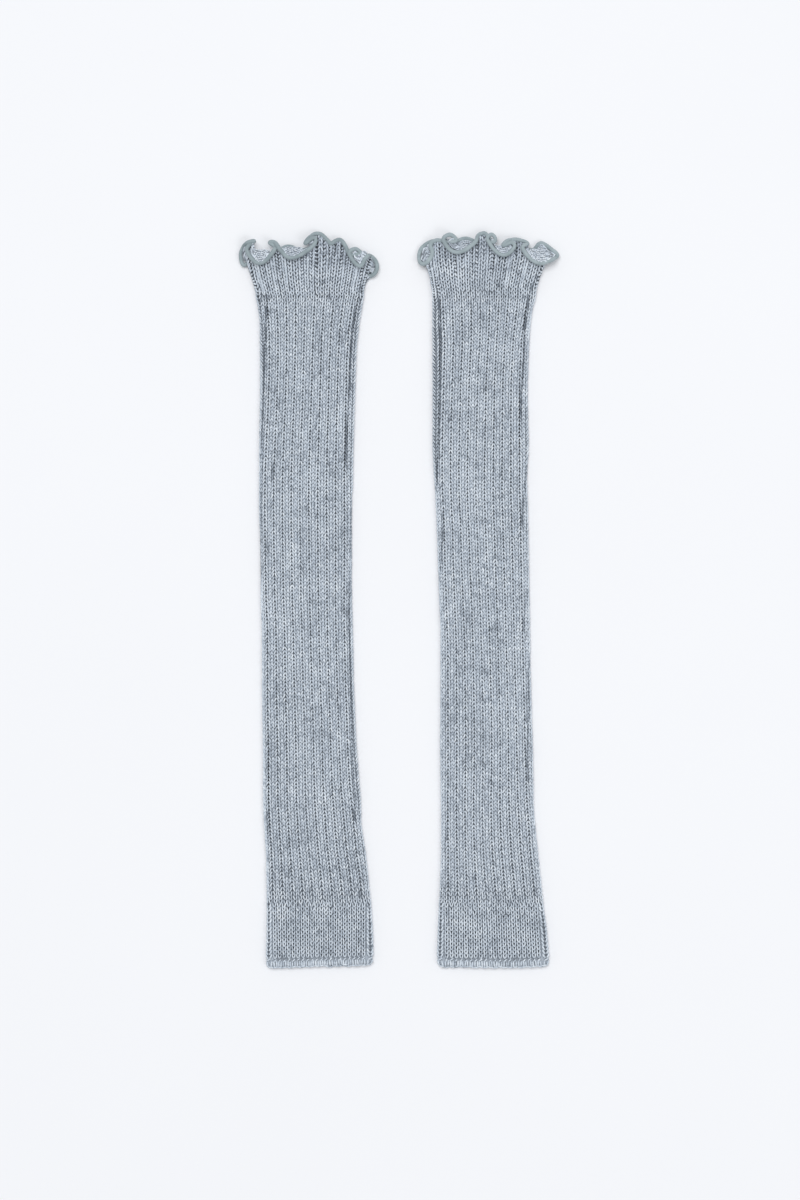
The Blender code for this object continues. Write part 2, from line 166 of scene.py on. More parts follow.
# The roll: its form, and its swellings and clouds, each with how far apart and how large.
ROLL_RADIUS = 1.85
ROLL_SIDES = 12
ROLL_STEP = 0.3
ROLL_WRAP = 0.95
ROLL_GROOVE = 0.022
# Painted shade: how much darker the roll's thread is in the grooves between its turns.
ROLL_GROOVE_PAINTED_SHADE = 0.05
ROLL_SWELLS = (9.0, 0.04)
ROLL_CLOUDS = (5.0, 0.06)
ROLL_SMOOTHING = 3

# Each use of random numbers adds its own number to the warmer's seed.
ROLL_SEED, HEM_SEED, CUFF_SEED, BAND_SEED, INSIDE_SEED, HEATHER_SEED = 3, 61, 71, 91, 97, 2000
YARN_SEED = 5

# The yarn's tone, and how far single stitches of the leg and of the other pieces stray from it.
YARN_TONE = 0.54
LEG_STRAY_TONE = 0.11
STRAY_TONE = 0.09

# Sections are millimetres along and across from the warmer's axis. Valleys and flares are rows of the
# photo with the columns of the left and the right side. A crease's line has a row and a column at each
# point, and a wave of the ruffle's edge a column and a row where it comes in, turns and goes out. Its
# lift is its height, and over how far the band has turned over to the front.
Section = namedtuple("Section", "along left right")
Crease = namedtuple("Crease", "strength line")
Wave = namedtuple("Wave", "name into turn out lift over")
Hem = namedtuple("Hem", "sag tilt")
Warmer = namedtuple("Warmer", "side axis axis_px leg valleys creases cuff hem flare waves roll_tone seed")


def table(kind, *rows):
    """A table with named columns."""
    return tuple(kind(*row) for row in rows)


LEFT = Warmer(
    side="left",
    axis=-82.01,
    axis_px=308.0,
    leg=table(
        Section,
        (TOP_SEAM, -47.2, 51.3), (256.0, -44.1, 48.6), (229.0, -43.6, 45.0), (188.5, -43.2, 43.6),
        (134.5, -44.1, 41.9), (80.5, -44.1, 41.0), (13.0, -43.2, 40.1), (-27.5, -41.4, 41.0),
        (-81.5, -41.4, 42.3), (-135.5, -40.5, 45.0), (-180.5, -40.5, 48.6), (-203.0, -39.6, 48.6),
        (-230.0, -37.8, 53.1), (CUFF_SEAM, -36.9, 57.6),
    ),
    valleys=(
        (290, 261.5, 360.5), (300, 262.8, 358.0), (330, 265.2, 353.5), (361, 265.0, 351.5),
        (401, 263.5, 350.5), (432, 262.3, 349.8), (473, 261.6, 349.2), (551, 262.0, 349.6),
        (623, 262.4, 349.8), (691, 262.8, 350.8), (742, 263.2, 352.2), (783, 264.0, 354.2),
        (850, 267.0, 360.6), (905, 268.6, 368.4),
    ),
    creases=table(
        Crease,
        (1.0, ((292, 268.5), (305, 267.4), (320, 266.4), (340, 265.6), (380, 264.4), (440, 262.2))),
        (0.75, ((430, 262.6), (460, 262.2), (480, 261.6), (520, 261.2), (560, 260.7), (600, 260.4))),
        (0.6, ((452, 272.4), (490, 272.3))),
        (0.6, ((735, 267.6), (760, 268.0), (800, 268.4), (840, 268.4), (865, 267.4))),
        (1.0, (
            (272, 367.0), (286, 361.8), (300, 358.0), (320, 354.6), (340, 352.0),
            (360, 350.6), (400, 349.0), (440, 347.0), (474, 345.2),
        )),
        (0.7, ((486, 353.0), (520, 351.8), (560, 350.6), (600, 350.1), (625, 349.6))),
        (0.9, ((590, 350.1), (620, 349.6), (660, 350.4), (700, 351.4), (740, 352.2))),
        (0.65, ((725, 351.9), (760, 353.0), (800, 354.6), (826, 355.6))),
    ),
    cuff=table(
        Section,
        (CUFF_SEAM, -37.2, 57.6), (-297.5, -37.5, 59.4), (-324.5, -38.4, 60.3),
        (-328.0, -37.8, 59.3), (-329.8, -36.4, 57.4), (-330.8, -34.4, 54.9),
    ),
    hem=Hem(sag=0.2, tilt=1.3),
    flare=(
        (297, 255.2, 364.6), (286, 252.9, 366.6), (276, 250.2, 369.0),
        (266, 247.6, 371.4), (256, 245.8, 373.2), (236, 243.4, 375.0),
    ),
    waves=table(
        Wave,
        ("left side", (244.2, 264.8), (240.9, 256.5), (242.6, 248.3), 3.6, 0),
        ("tip 1", (247.5, 242.6), (254.6, 240.9), (250.3, 243.8), 7.8, 0.3),
        ("over 1", (247.4, 251), (259.5, 262.7), (272.6, 252.5), 11.5, 1),
        ("tip 2", (275, 246.5), (270, 242.4), (275.3, 242.4), 8.6, 0.2),
        ("over 2", (281.5, 250.5), (292.5, 257.3), (310.5, 247.8), 11.5, 1),
        ("curl 1", (316, 241), (313.3, 237.8), (305.6, 243.2), 10, 0.4),
        ("crest 2", (310.2, 237), (318.7, 233.2), (327, 239), 6.6, 0),
        ("dip", (330.2, 242.9), (331.7, 243.4), (333.4, 242.2), 6.8, 0.1),
        ("crest 3", (336.5, 240.2), (341.3, 239.9), (345.6, 245.6), 6.6, 0),
        ("curl 2", (350.5, 254), (360.3, 253), (355.5, 248.6), 8.5, 0.4),
        ("over 3", (349.7, 253.5), (359.5, 265.4), (365.6, 258), 12, 1),
        ("right side", (370.7, 255.5), (377.2, 264), (374.8, 273.4), 5.5, 0),
        ("back 1", (368, 274.5), (362, 263), (356, 257), 2.0, 0),
        ("back 2", (350, 253.5), (342, 250.5), (333, 251.5), 1.6, 0),
        ("back 3", (326, 249), (316, 247), (307, 249), 1.9, 0),
        ("back 4", (299, 249.5), (289, 246.2), (281, 249), 3.2, 0),
        ("back 5", (272, 254), (262, 255.5), (252, 259), 1.6, 0),
    ),
    roll_tone=0.34,
    seed=11,
)

RIGHT = Warmer(
    side="right",
    axis=74.59,
    axis_px=482.0,
    leg=table(
        Section,
        (TOP_SEAM, -45.0, 49.1), (256.0, -45.0, 45.0), (229.0, -45.0, 43.2), (188.5, -45.0, 41.9),
        (134.5, -45.0, 43.2), (107.5, -43.2, 41.4), (80.5, -41.4, 42.3), (26.5, -39.6, 43.2),
        (-27.5, -37.4, 44.1), (-81.5, -37.4, 45.0), (-135.5, -37.8, 46.8), (-189.5, -36.9, 47.2),
        (-230.0, -36.9, 51.3), (CUFF_SEAM, -38.7, 56.2),
    ),
    valleys=(
        (290, 437.0, 533.5), (300, 438.6, 532.0), (340, 441.4, 526.6), (381, 440.0, 524.6),
        (422, 438.8, 524.4), (463, 438.0, 524.6), (490, 438.4, 524.4), (531, 440.4, 525.2),
        (572, 441.0, 526.2), (645, 443.6, 527.6), (722, 443.4, 529.2), (800, 443.6, 530.8),
        (850, 444.0, 534.0), (905, 443.4, 540.6),
    ),
    creases=table(
        Crease,
        (1.0, (
            (292, 438.8), (300, 439.6), (320, 440.8), (340, 441.2),
            (380, 440.0), (440, 438.6), (498, 436.6),
        )),
        (0.65, ((506, 443.2), (520, 443.2), (540, 442.4), (560, 441.4), (582, 439.8))),
        (0.5, ((806, 448.0), (820, 447.6), (840, 446.0), (856, 444.8))),
        (1.0, (
            (268, 541.5), (280, 535.0), (290, 531.0), (300, 528.6),
            (320, 525.4), (360, 523.8), (400, 521.4), (446, 519.2),
        )),
        (0.75, ((452, 527.2), (480, 525.8), (500, 523.8), (532, 521.4))),
        (0.6, ((588, 527.2), (600, 526.2), (620, 524.4), (645, 522.8))),
        (0.65, ((650, 530.0), (680, 528.8), (720, 528.6), (760, 527.8), (786, 527.3))),
    ),
    cuff=table(
        Section,
        (CUFF_SEAM, -38.9, 56.2), (-297.5, -40.0, 59.4), (-324.5, -41.1, 62.1),
        (-328.0, -40.4, 61.2), (-329.8, -38.8, 59.4), (-330.8, -36.8, 57.0),
    ),
    hem=Hem(sag=1.2, tilt=0.0),
    flare=(
        (297, 431.6, 536.3), (286, 430.2, 539.3), (276, 428.8, 542.1),
        (266, 426.8, 545.2), (256, 425.4, 548.2), (236, 423.4, 551.0),
    ),
    waves=table(
        Wave,
        ("left side", (420.8, 262.3), (427.5, 261.8), (432.8, 252.8), 8.5, 0),
        ("crest 1", (431, 244.8), (435.5, 240.4), (441.5, 240.3), 6.8, 0.1),
        ("curl 1", (450.5, 241.5), (456.6, 239.9), (450.2, 234.4), 9, 0.4),
        ("over 1", (444.1, 240), (456.5, 251.8), (474.3, 243.2), 12, 1),
        ("crest 2", (478.3, 235.6), (482, 233.2), (486.3, 233.6), 7, 0),
        ("curl 2", (493, 241.8), (495.6, 238.2), (491.6, 234.2), 9.5, 0.4),
        ("over 2", (488.4, 240), (502, 254.3), (514.4, 247.5), 12, 1),
        ("curl 3", (512.2, 242.4), (503.8, 245.3), (507, 241.2), 8.8, 0.4),
        ("crest 3", (512, 239.6), (519.5, 239.6), (528, 243.2), 6.6, 0),
        ("over 3", (523.1, 248), (536, 261.6), (549.2, 260.9), 11.5, 1),
        ("right side", (556.2, 257), (557.5, 253.9), (551.2, 248.4), 6.5, 0),
        ("back 1", (545.5, 244.2), (540, 243.3), (534, 249.5), 3.0, 0),
        ("back 2", (524, 249), (514, 247), (504, 249), 1.6, 0),
        ("back 3", (494, 248), (485, 245), (477, 242.5), 1.9, 0),
        ("back 4", (471, 239.2), (464, 238.4), (457, 241.5), 3.4, 0),
        ("back 5", (450, 244.5), (444, 244), (439, 242), 1.8, 0),
        ("left turn", (434, 240.6), (424.8, 245.2), (419.8, 253.5), 3.0, 0),
    ),
    roll_tone=0.45,
    seed=23,
)


# ---------------------------------------------------------------- small helpers


def columns_of(rows):
    return [np.array(column, dtype=float) for column in zip(*rows)]


def measured(warmer, rows, from_row=IMAGE_MIDDLE_ROW):
    """A table of rows and columns of pixels, as places along and across from the warmer's axis."""
    pixel_rows, *pixel_columns = columns_of(rows)
    return (from_row - pixel_rows) * PX, *((px - warmer.axis_px) * PX for px in pixel_columns)


def unit(vectors):
    return vectors / np.maximum(np.linalg.norm(vectors, axis=-1, keepdims=True), 1e-9)


def eased(t):
    return t * t * (3 - 2 * t)


def fade(places, width):
    """0 at the first place and 1 from `width` on, eased."""
    return eased(np.clip(places / width, 0, 1))


def near(distance, reach):
    """1 at no distance and 0 from `reach` on, eased."""
    return fade(reach - distance, reach)


def hermite(t, start, start_slope, end, end_slope):
    return (
        (2 * t**3 - 3 * t**2 + 1) * start
        + (t**3 - 2 * t**2 + t) * start_slope
        + (3 * t**2 - 2 * t**3) * end
        + (t**3 - t**2) * end_slope
    )


def between(values, ix, jx, tx, iy, jy, ty):
    """What a grid of values gives at places between columns ix and jx and between rows iy and jy."""
    low = values[ix, iy] * (1 - tx) + values[jx, iy] * tx
    high = values[ix, jy] * (1 - tx) + values[jx, jy] * tx
    return low * (1 - ty) + high * ty


def uneven(rng, count, size):
    """A random number for each strand, as a column."""
    return rng.normal(0, size, (count, 1))


def smooth_noise(rng, places, spacing, size):
    """A soft random line through places, with bumps about `spacing` apart and of height `size`."""
    low, high = float(np.min(places)), float(np.max(places))
    count = max(4, int((high - low) / spacing) + 4)
    knots = np.linspace(low - spacing, high + spacing, count)
    values = rng.normal(0, size, count)
    at = np.clip(np.searchsorted(knots, places) - 1, 0, count - 2)
    t = eased((places - knots[at]) / (knots[1] - knots[0]))
    return values[at] * (1 - t) + values[at + 1] * t


class Patches:
    """Soft random patches over a plane, from its low corner to its high one."""

    def __init__(self, rng, low, high, steps, size):
        self.low, self.high, self.steps = low, high, steps
        counts = [int((b - a) / step) + 3 for a, b, step in zip(low, high, steps)]
        self.values = rng.normal(0, size, counts)

    def at(self, x, y):
        sides = zip((x, y), self.low, self.high, self.steps)
        gx, gy = ((np.clip(place, a, b) - a) / step for place, a, b, step in sides)
        ix, iy = gx.astype(int), gy.astype(int)
        return between(self.values, ix, ix + 1, eased(gx - ix), iy, iy + 1, eased(gy - iy))


def patches_over(rng, x, y, steps, size):
    """Soft random patches at these places."""
    return Patches(rng, (x.min(), y.min()), (x.max(), y.max()), steps, size).at(x, y)


def make_mesh(name, points, quads, material, values, triangles=(), uvs=()):
    """One mesh object from arrays. values maps a name to a number for each vertex, and uvs maps a
    name to (u, v) for each corner."""
    mesh = bpy.data.meshes.new(name)
    quads = np.asarray(quads, dtype=np.int32).reshape(-1, 4)
    triangles = np.asarray(triangles, dtype=np.int32).reshape(-1, 3)
    corners = np.concatenate((quads.ravel(), triangles.ravel()))
    mesh.vertices.add(len(points))
    mesh.vertices.foreach_set("co", (points * MM).astype(np.float32).ravel())
    mesh.loops.add(len(corners))
    mesh.loops.foreach_set("vertex_index", corners)
    starts = np.concatenate(
        (np.arange(len(quads)) * 4, len(quads) * 4 + np.arange(len(triangles)) * 3)
    ).astype(np.int32)
    mesh.polygons.add(len(starts))
    mesh.polygons.foreach_set("loop_start", starts)
    for uv_name, corner_uvs in dict(uvs).items():
        layer = mesh.uv_layers.new(name=uv_name)
        layer.data.foreach_set("uv", np.asarray(corner_uvs, dtype=np.float32).ravel())
    for value_name, numbers in values.items():
        attribute = mesh.attributes.new(value_name, "FLOAT", "POINT")
        attribute.data.foreach_set("value", np.asarray(numbers, dtype=np.float32))
    mesh.update(calc_edges=True)
    mesh.validate()
    mesh.shade_smooth()
    mesh.materials.append(material)
    piece = bpy.data.objects.new(name, mesh)
    bpy.context.collection.objects.link(piece)
    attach(piece, "root")
    return piece


# ---------------------------------------------------------------- materials


class Nodes:
    """Short ways to write down a material's nodes."""

    def __init__(self, name):
        self.material = bpy.data.materials.new(name)
        self.material.use_nodes = True
        self.tree = self.material.node_tree
        self.shader = self.tree.nodes["Principled BSDF"]

    def add(self, kind, inputs=(), **settings):
        node = self.tree.nodes.new(kind)
        for key, value in settings.items():
            setattr(node, key, value)
        for key, value in dict(inputs).items():
            self.put(value, node.inputs[key])
        return node

    def put(self, value, socket):
        if isinstance(value, bpy.types.NodeSocket):
            self.tree.links.new(value, socket)
        else:
            socket.default_value = value

    def shade(self, inputs):
        """Sets the shader's own sockets, and gives the finished material."""
        for key, value in inputs.items():
            self.put(value, self.shader.inputs[key])
        return self.material

    def math(self, operation, a, b=0.0, c=0.0):
        return self.add("ShaderNodeMath", {0: a, 1: b, 2: c}, operation=operation).outputs[0]

    def vary(self, tone, noise, amount):
        """The tone, lighter and darker with a noise."""
        return self.math("MULTIPLY_ADD", self.math("SUBTRACT", noise, 0.5), amount, tone)

    def place(self):
        return self.add("ShaderNodeTexCoord").outputs["Object"]

    def number(self, name):
        return self.add("ShaderNodeAttribute", attribute_name=name).outputs["Fac"]

    def uv(self, name):
        uv = self.add("ShaderNodeUVMap", uv_map=name).outputs["UV"]
        parts = self.add("ShaderNodeSeparateXYZ", {"Vector": uv})
        return parts.outputs["X"], parts.outputs["Y"]

    def noise(self, vector, scale, detail, roughness):
        inputs = {"Vector": vector, "Scale": scale, "Detail": detail, "Roughness": roughness}
        return self.add("ShaderNodeTexNoise", inputs).outputs["Fac"]

    def ramp(self, factor, stops):
        node = self.add("ShaderNodeValToRGB", {"Fac": factor})
        ramp = node.color_ramp
        while len(ramp.elements) < len(stops):
            ramp.elements.new(0.5)
        for element, (position, colour) in zip(ramp.elements, stops):
            element.position = position
            element.color = (*colour, 1.0)
        return node.outputs["Color"]

    def bump(self, height, strength, distance):
        inputs = {"Height": height, "Strength": strength, "Distance": distance}
        return self.add("ShaderNodeBump", inputs).outputs["Normal"]


def yarn_material(name, stops):
    """Heathered spun yarn: its tone changes from stitch to stitch, and its plies twist."""
    n = Nodes(name)
    place = n.place()
    around, along = n.uv("yarn")
    twist = n.math("SINE", n.math("MULTIPLY", n.math("MULTIPLY_ADD", around, 3.0, along), TAU))
    fibres = n.noise(place, 2600.0, 2.0, 0.6)
    flecks = n.noise(place, 620.0, 2.0, 0.5)
    tone = n.vary(n.vary(n.number("tone"), fibres, 0.5), flecks, 0.9)
    # The tone follows the plies' twist: painted shade in the grooves between them.
    tone = n.math("MULTIPLY_ADD", twist, 0.035, tone)
    plies = n.math("MULTIPLY_ADD", twist, 0.5, fibres)
    return n.shade({
        "Base Color": n.ramp(tone, stops),
        "Normal": n.bump(plies, 0.55, 0.00025),
        "Roughness": 0.88,
        "Specular IOR Level": 0.25,
        "Sheen Weight": 0.25,
        "Sheen Roughness": 0.55,
    })


def ground_material(name, painted_shade_stops, shown):
    """The cloth under the stitches, darkened by its painted shade, and the underside: rows of Vs."""
    n = Nodes(name)
    wale, row = n.uv("knit")
    off = n.math("ABSOLUTE", n.math("SUBTRACT", n.math("FRACT", wale), 0.5))
    slanted = n.math("MULTIPLY_ADD", off, 2.2, row)
    strokes = n.math("ABSOLUTE", n.math("SINE", n.math("MULTIPLY", slanted, math.pi)))
    valley = n.math("SUBTRACT", 1.0, n.math("MULTIPLY", off, 1.6))
    height = n.math("MULTIPLY", strokes, valley)
    place = n.place()
    fibres = n.noise(place, 1500.0, 3.0, 0.6)
    patches = n.noise(place, 45.0, 2.0, 0.5)
    # The Vs' tone follows their height: painted shade between them.
    tone = n.math("MULTIPLY_ADD", height, 0.55, n.math("MULTIPLY", fibres, 0.3))
    tone = n.vary(tone, patches, 0.3)
    # Under the stitches the 'shade' number paints shade on the cloth with the dark stops; elsewhere its
    # own tone shows.
    mix = n.add("ShaderNodeMix", data_type="RGBA")
    n.put(n.number("tone"), mix.inputs["Factor"])
    n.put(n.ramp(n.math("MULTIPLY_ADD", tone, 0.3, n.number("shade")), painted_shade_stops), mix.inputs[6])
    n.put(n.ramp(tone, shown), mix.inputs[7])
    return n.shade({
        "Base Color": mix.outputs[2],
        "Normal": n.bump(n.math("MULTIPLY_ADD", fibres, 0.2, height), 0.8, 0.0008),
        "Roughness": 0.92,
        "Specular IOR Level": 0.2,
        "Sheen Weight": 0.15,
    })


def thread_material(name, stops):
    """Matt overlock thread, wound tightly round the edge."""
    n = Nodes(name)
    place = n.place()
    fibres = n.noise(place, 2200.0, 2.0, 0.6)
    soft = n.noise(place, 160.0, 2.0, 0.5)
    tone = n.vary(n.vary(n.number("tone"), fibres, 0.3), soft, 0.4)
    return n.shade({
        "Base Color": n.ramp(tone, stops),
        "Normal": n.bump(fibres, 0.4, 0.0002),
        "Roughness": 0.75,
        "Specular IOR Level": 0.3,
        "Sheen Weight": 0.2,
    })


KNIT = yarn_material(
    "light_blue_grey_yarn",
    ((0.0, (0.165, 0.197, 0.242)), (0.45, (0.55, 0.618, 0.70)), (1.0, (0.84, 0.90, 0.96))),
)
GROUND_AND_PAINTED_SHADE = ground_material(
    "knit_ground_and_painted_shade",
    ((0.0, (0.014, 0.018, 0.024)), (0.5, (0.17, 0.195, 0.23)), (1.0, (0.42, 0.47, 0.53))),
    ((0.0, (0.16, 0.19, 0.23)), (0.5, (0.48, 0.53, 0.60)), (1.0, (0.74, 0.79, 0.85))),
)
THREAD = thread_material(
    "grey_green_edge_thread",
    ((0.0, (0.18, 0.23, 0.25)), (0.5, (0.34, 0.405, 0.43)), (1.0, (0.50, 0.57, 0.60))),
)


# ---------------------------------------------------------------- the flattened tube


def section_table(sections):
    """The two side folds at close steps along the tube, smoothed where the tube is long."""
    step, long_tube, reach = 1.0, 100, 15
    along, *sides = (column[::-1] for column in columns_of(sections))
    steps = np.arange(along[0], along[-1] + step / 2, step)
    lines = [np.interp(steps, along, side) for side in sides]
    if steps[-1] - steps[0] > long_tube:
        kernel = np.hanning(2 * reach + 1)
        padded = (np.pad(line, reach, mode="reflect", reflect_type="odd") for line in lines)
        lines = [np.convolve(line, kernel / kernel.sum(), mode="valid") for line in padded]
    return steps, *lines


def fold_table():
    """Half a cut across the tube from its back, round a side fold, to its front.

    By the way round from the fold: the distance in from the fold, the height and the outward normal.
    """
    far, steps = 200.0, 49
    half = (TOP_Z - UNDER_Z) / 2
    turn = np.linspace(-math.pi / 2, math.pi / 2, steps)
    inset = np.concatenate(([far], FOLD_REACH * (1 - np.cos(turn)), [far]))
    z = np.concatenate(([UNDER_Z], UNDER_Z + half + half * np.sin(turn), [TOP_Z]))
    outward = np.concatenate(([0.0], half * np.cos(turn), [0.0]))
    up = np.concatenate(([-1.0], FOLD_REACH * np.sin(turn), [1.0]))
    run = np.concatenate(([0.0], np.cumsum(np.hypot(np.diff(inset), np.diff(z)))))
    return run - run[-1] / 2, inset, z, outward, up


class Tube:
    """The surface through the middles of the yarns. q counts ribs from the front's middle line.

    valleys gives the outermost grooves: places along, rising, and across on the left and right.
    """

    EDGE = FRONT_RIBS / 2

    def __init__(self, warmer, sections, valleys):
        self.axis = warmer.axis
        self.table = section_table(sections)
        self.fold = fold_table()
        self.valleys = valleys

    def at(self, q, y):
        steps, lefts, rights = self.table
        along, valley_lefts, valley_rights = self.valleys
        y = np.broadcast_to(y, q.shape)
        left = np.interp(y, steps, lefts) + YARN
        right = np.interp(y, steps, rights) - YARN
        deep_left = np.maximum(np.interp(y, along, valley_lefts), left + LEAST_VALLEY)
        deep_right = np.minimum(np.interp(y, along, valley_rights), right - LEAST_VALLEY)
        q = (q + QUARTER + RIBS_ROUND) % RIBS_ROUND - QUARTER
        front = q <= QUARTER
        flat_q = np.where(front, q, 2 * QUARTER - q)
        share = np.clip(flat_q / self.EDGE, -1, 1) * 0.5 + 0.5
        x = deep_left + (deep_right - deep_left) * share
        run, inset, z_line, outward_line, up_line = self.fold
        right_half = flat_q > 0
        distance = np.where(right_half, right - x, x - left)
        front_half = slice(len(run) // 2, None)
        way = np.interp(distance, inset[front_half], run[front_half])
        past = np.clip((np.abs(flat_q) - self.EDGE) / (QUARTER - self.EDGE), 0, 1)
        way = way * (1 - past) * np.where(front, 1.0, -1.0)
        distance = np.interp(way, run, inset)
        z = np.interp(way, run, z_line)
        outward = np.interp(way, run, outward_line) * np.where(right_half, 1.0, -1.0)
        up = np.interp(way, run, up_line)
        x = np.where(right_half, right - distance, left + distance)
        point = np.stack((x + self.axis, y, z), axis=-1)
        return point, unit(np.stack((outward, np.zeros_like(outward), up), axis=-1))


def crease_depth(warmer, places):
    """How deep places on the front lie in the soft creases that run down beside the side folds."""
    x, y = places[..., 0], places[..., 1]
    depth = np.zeros(x.shape)
    for strength, line in warmer.creases:
        along, across = (column[::-1] for column in measured(warmer, line))
        ends = fade(y - along[0], CREASE_ENDS) * fade(along[-1] - y, CREASE_ENDS)
        beside = (x - np.interp(y, along, warmer.axis + across)) / CREASE_WIDTH
        depth = np.maximum(depth, strength * ends * np.exp(-(beside**2)))
    return depth


# ---------------------------------------------------------------- stitches


def spindle_faces(rings, sides):
    """One strand's quads and triangles, each with the (u, v) of its corners: round and along."""
    steps = rings + 1
    last, high = rings * sides + 1, 1 + (rings - 1) * sides
    quads, quad_uv, triangles, triangle_uv = [], [], [], []
    for s in range(sides):
        t = (s + 1) % sides
        u0, u1 = s / sides, (s + 1) / sides
        triangles += [(0, 1 + t, 1 + s), (last, high + s, high + t)]
        triangle_uv.append((((u0 + u1) / 2, 0.0), (u1, 1 / steps), (u0, 1 / steps)))
        triangle_uv.append((((u0 + u1) / 2, 1.0), (u0, rings / steps), (u1, rings / steps)))
    for r in range(rings - 1):
        for s in range(sides):
            a, b = 1 + r * sides + s, 1 + r * sides + (s + 1) % sides
            quads.append((a, b, b + sides, a + sides))
            u0, u1 = s / sides, (s + 1) / sides
            v0, v1 = (r + 1) / steps, (r + 2) / steps
            quad_uv.append(((u0, v0), (u1, v0), (u1, v1), (u0, v1)))
    return [np.array(made) for made in (quads, quad_uv, triangles, triangle_uv)]


def atlas_cells(count, corners):
    """A square of the texture for each strand, so that none overlap."""
    margin = 0.08
    across = math.ceil(math.sqrt(count))
    k = np.arange(count)
    cell = 1.0 / across
    origin = np.stack((k % across, k // across), axis=1) * cell
    inset = margin * cell
    return origin[:, None, :] + inset + corners[None, :, :] * (cell - 2 * inset)


def spindles(name, middles, normals, wide, tall, tone):
    """Closed tapered strands. middles: strand, ring, xyz, its first and last being the tips."""
    count, rings = middles.shape[0], middles.shape[1] - 2
    sides = STITCH_SIDES
    travel = unit(np.gradient(middles, axis=1))[:, 1:-1]
    up = normals[:, 1:-1]
    across = unit(np.cross(travel, up))
    up = np.cross(across, travel)
    angle = TAU * (np.arange(sides) + 0.25) / sides
    cos, sin = np.cos(angle)[None, None, :, None], np.sin(angle)[None, None, :, None]
    body = (
        middles[:, 1:-1, None, :]
        + cos * across[:, :, None, :] * wide[:, :, None, None]
        + sin * up[:, :, None, :] * tall[:, :, None, None]
    )
    each = rings * sides + 2
    points = np.concatenate(
        (middles[:, :1, :], body.reshape(count, rings * sides, 3), middles[:, -1:, :]), axis=1
    ).reshape(-1, 3)
    points[:, 2] = np.maximum(points[:, 2], LEAST_STITCH_Z)
    quads, quad_uv, triangles, triangle_uv = spindle_faces(rings, sides)
    offsets = (np.arange(count) * each)[:, None, None]
    corners = [quad_uv.reshape(-1, 2), triangle_uv.reshape(-1, 2)]
    shift = np.random.default_rng(YARN_SEED).random(count)[:, None, None] * (0.0, 1.0)
    uvs = {
        "OFBake": np.concatenate([atlas_cells(count, uv).reshape(-1, 2) for uv in corners]),
        "yarn": np.concatenate([(uv[None] + shift).reshape(-1, 2) for uv in corners]),
    }
    # Painted shade along each strand: darker at its tips, where they tuck under the next stitches.
    along = np.concatenate(([TIP_PAINTED_SHADE], np.repeat(RING_PAINTED_SHADE, sides), [TIP_PAINTED_SHADE]))
    values = {"tone": (np.asarray(tone)[:, None] + along[None, :]).ravel()}
    return make_mesh(name, points, quads + offsets, KNIT, values, triangles + offsets, uvs)


class Heather:
    """The yarn's tone over one leg warmer: clouds, streaks along the rows, and single stitches."""

    LOW, HIGH = (-12.0, -340.0), (24.0, 340.0)
    LAYERS = (((2.6, 34.0), 0.03), ((1.3, 12.0), 0.05), ((0.9, 3.4), 0.05))

    def __init__(self, warmer):
        rng = np.random.default_rng(warmer.seed + HEATHER_SEED)
        self.layers = [Patches(rng, self.LOW, self.HIGH, *layer) for layer in self.LAYERS]

    def at(self, rng, q, y, stray):
        tone = YARN_TONE + rng.normal(0, stray, len(q))
        for layer in self.layers:
            tone = tone + layer.at(q, y)
        return tone


def leg_profile(offset, deep):
    """How far under the ribs' top a place across a rib lies."""
    flat, side, roundness = 0.12, 0.38, 1.6
    return -deep * np.clip((np.abs(offset) - flat) / side, 0, 1) ** roundness


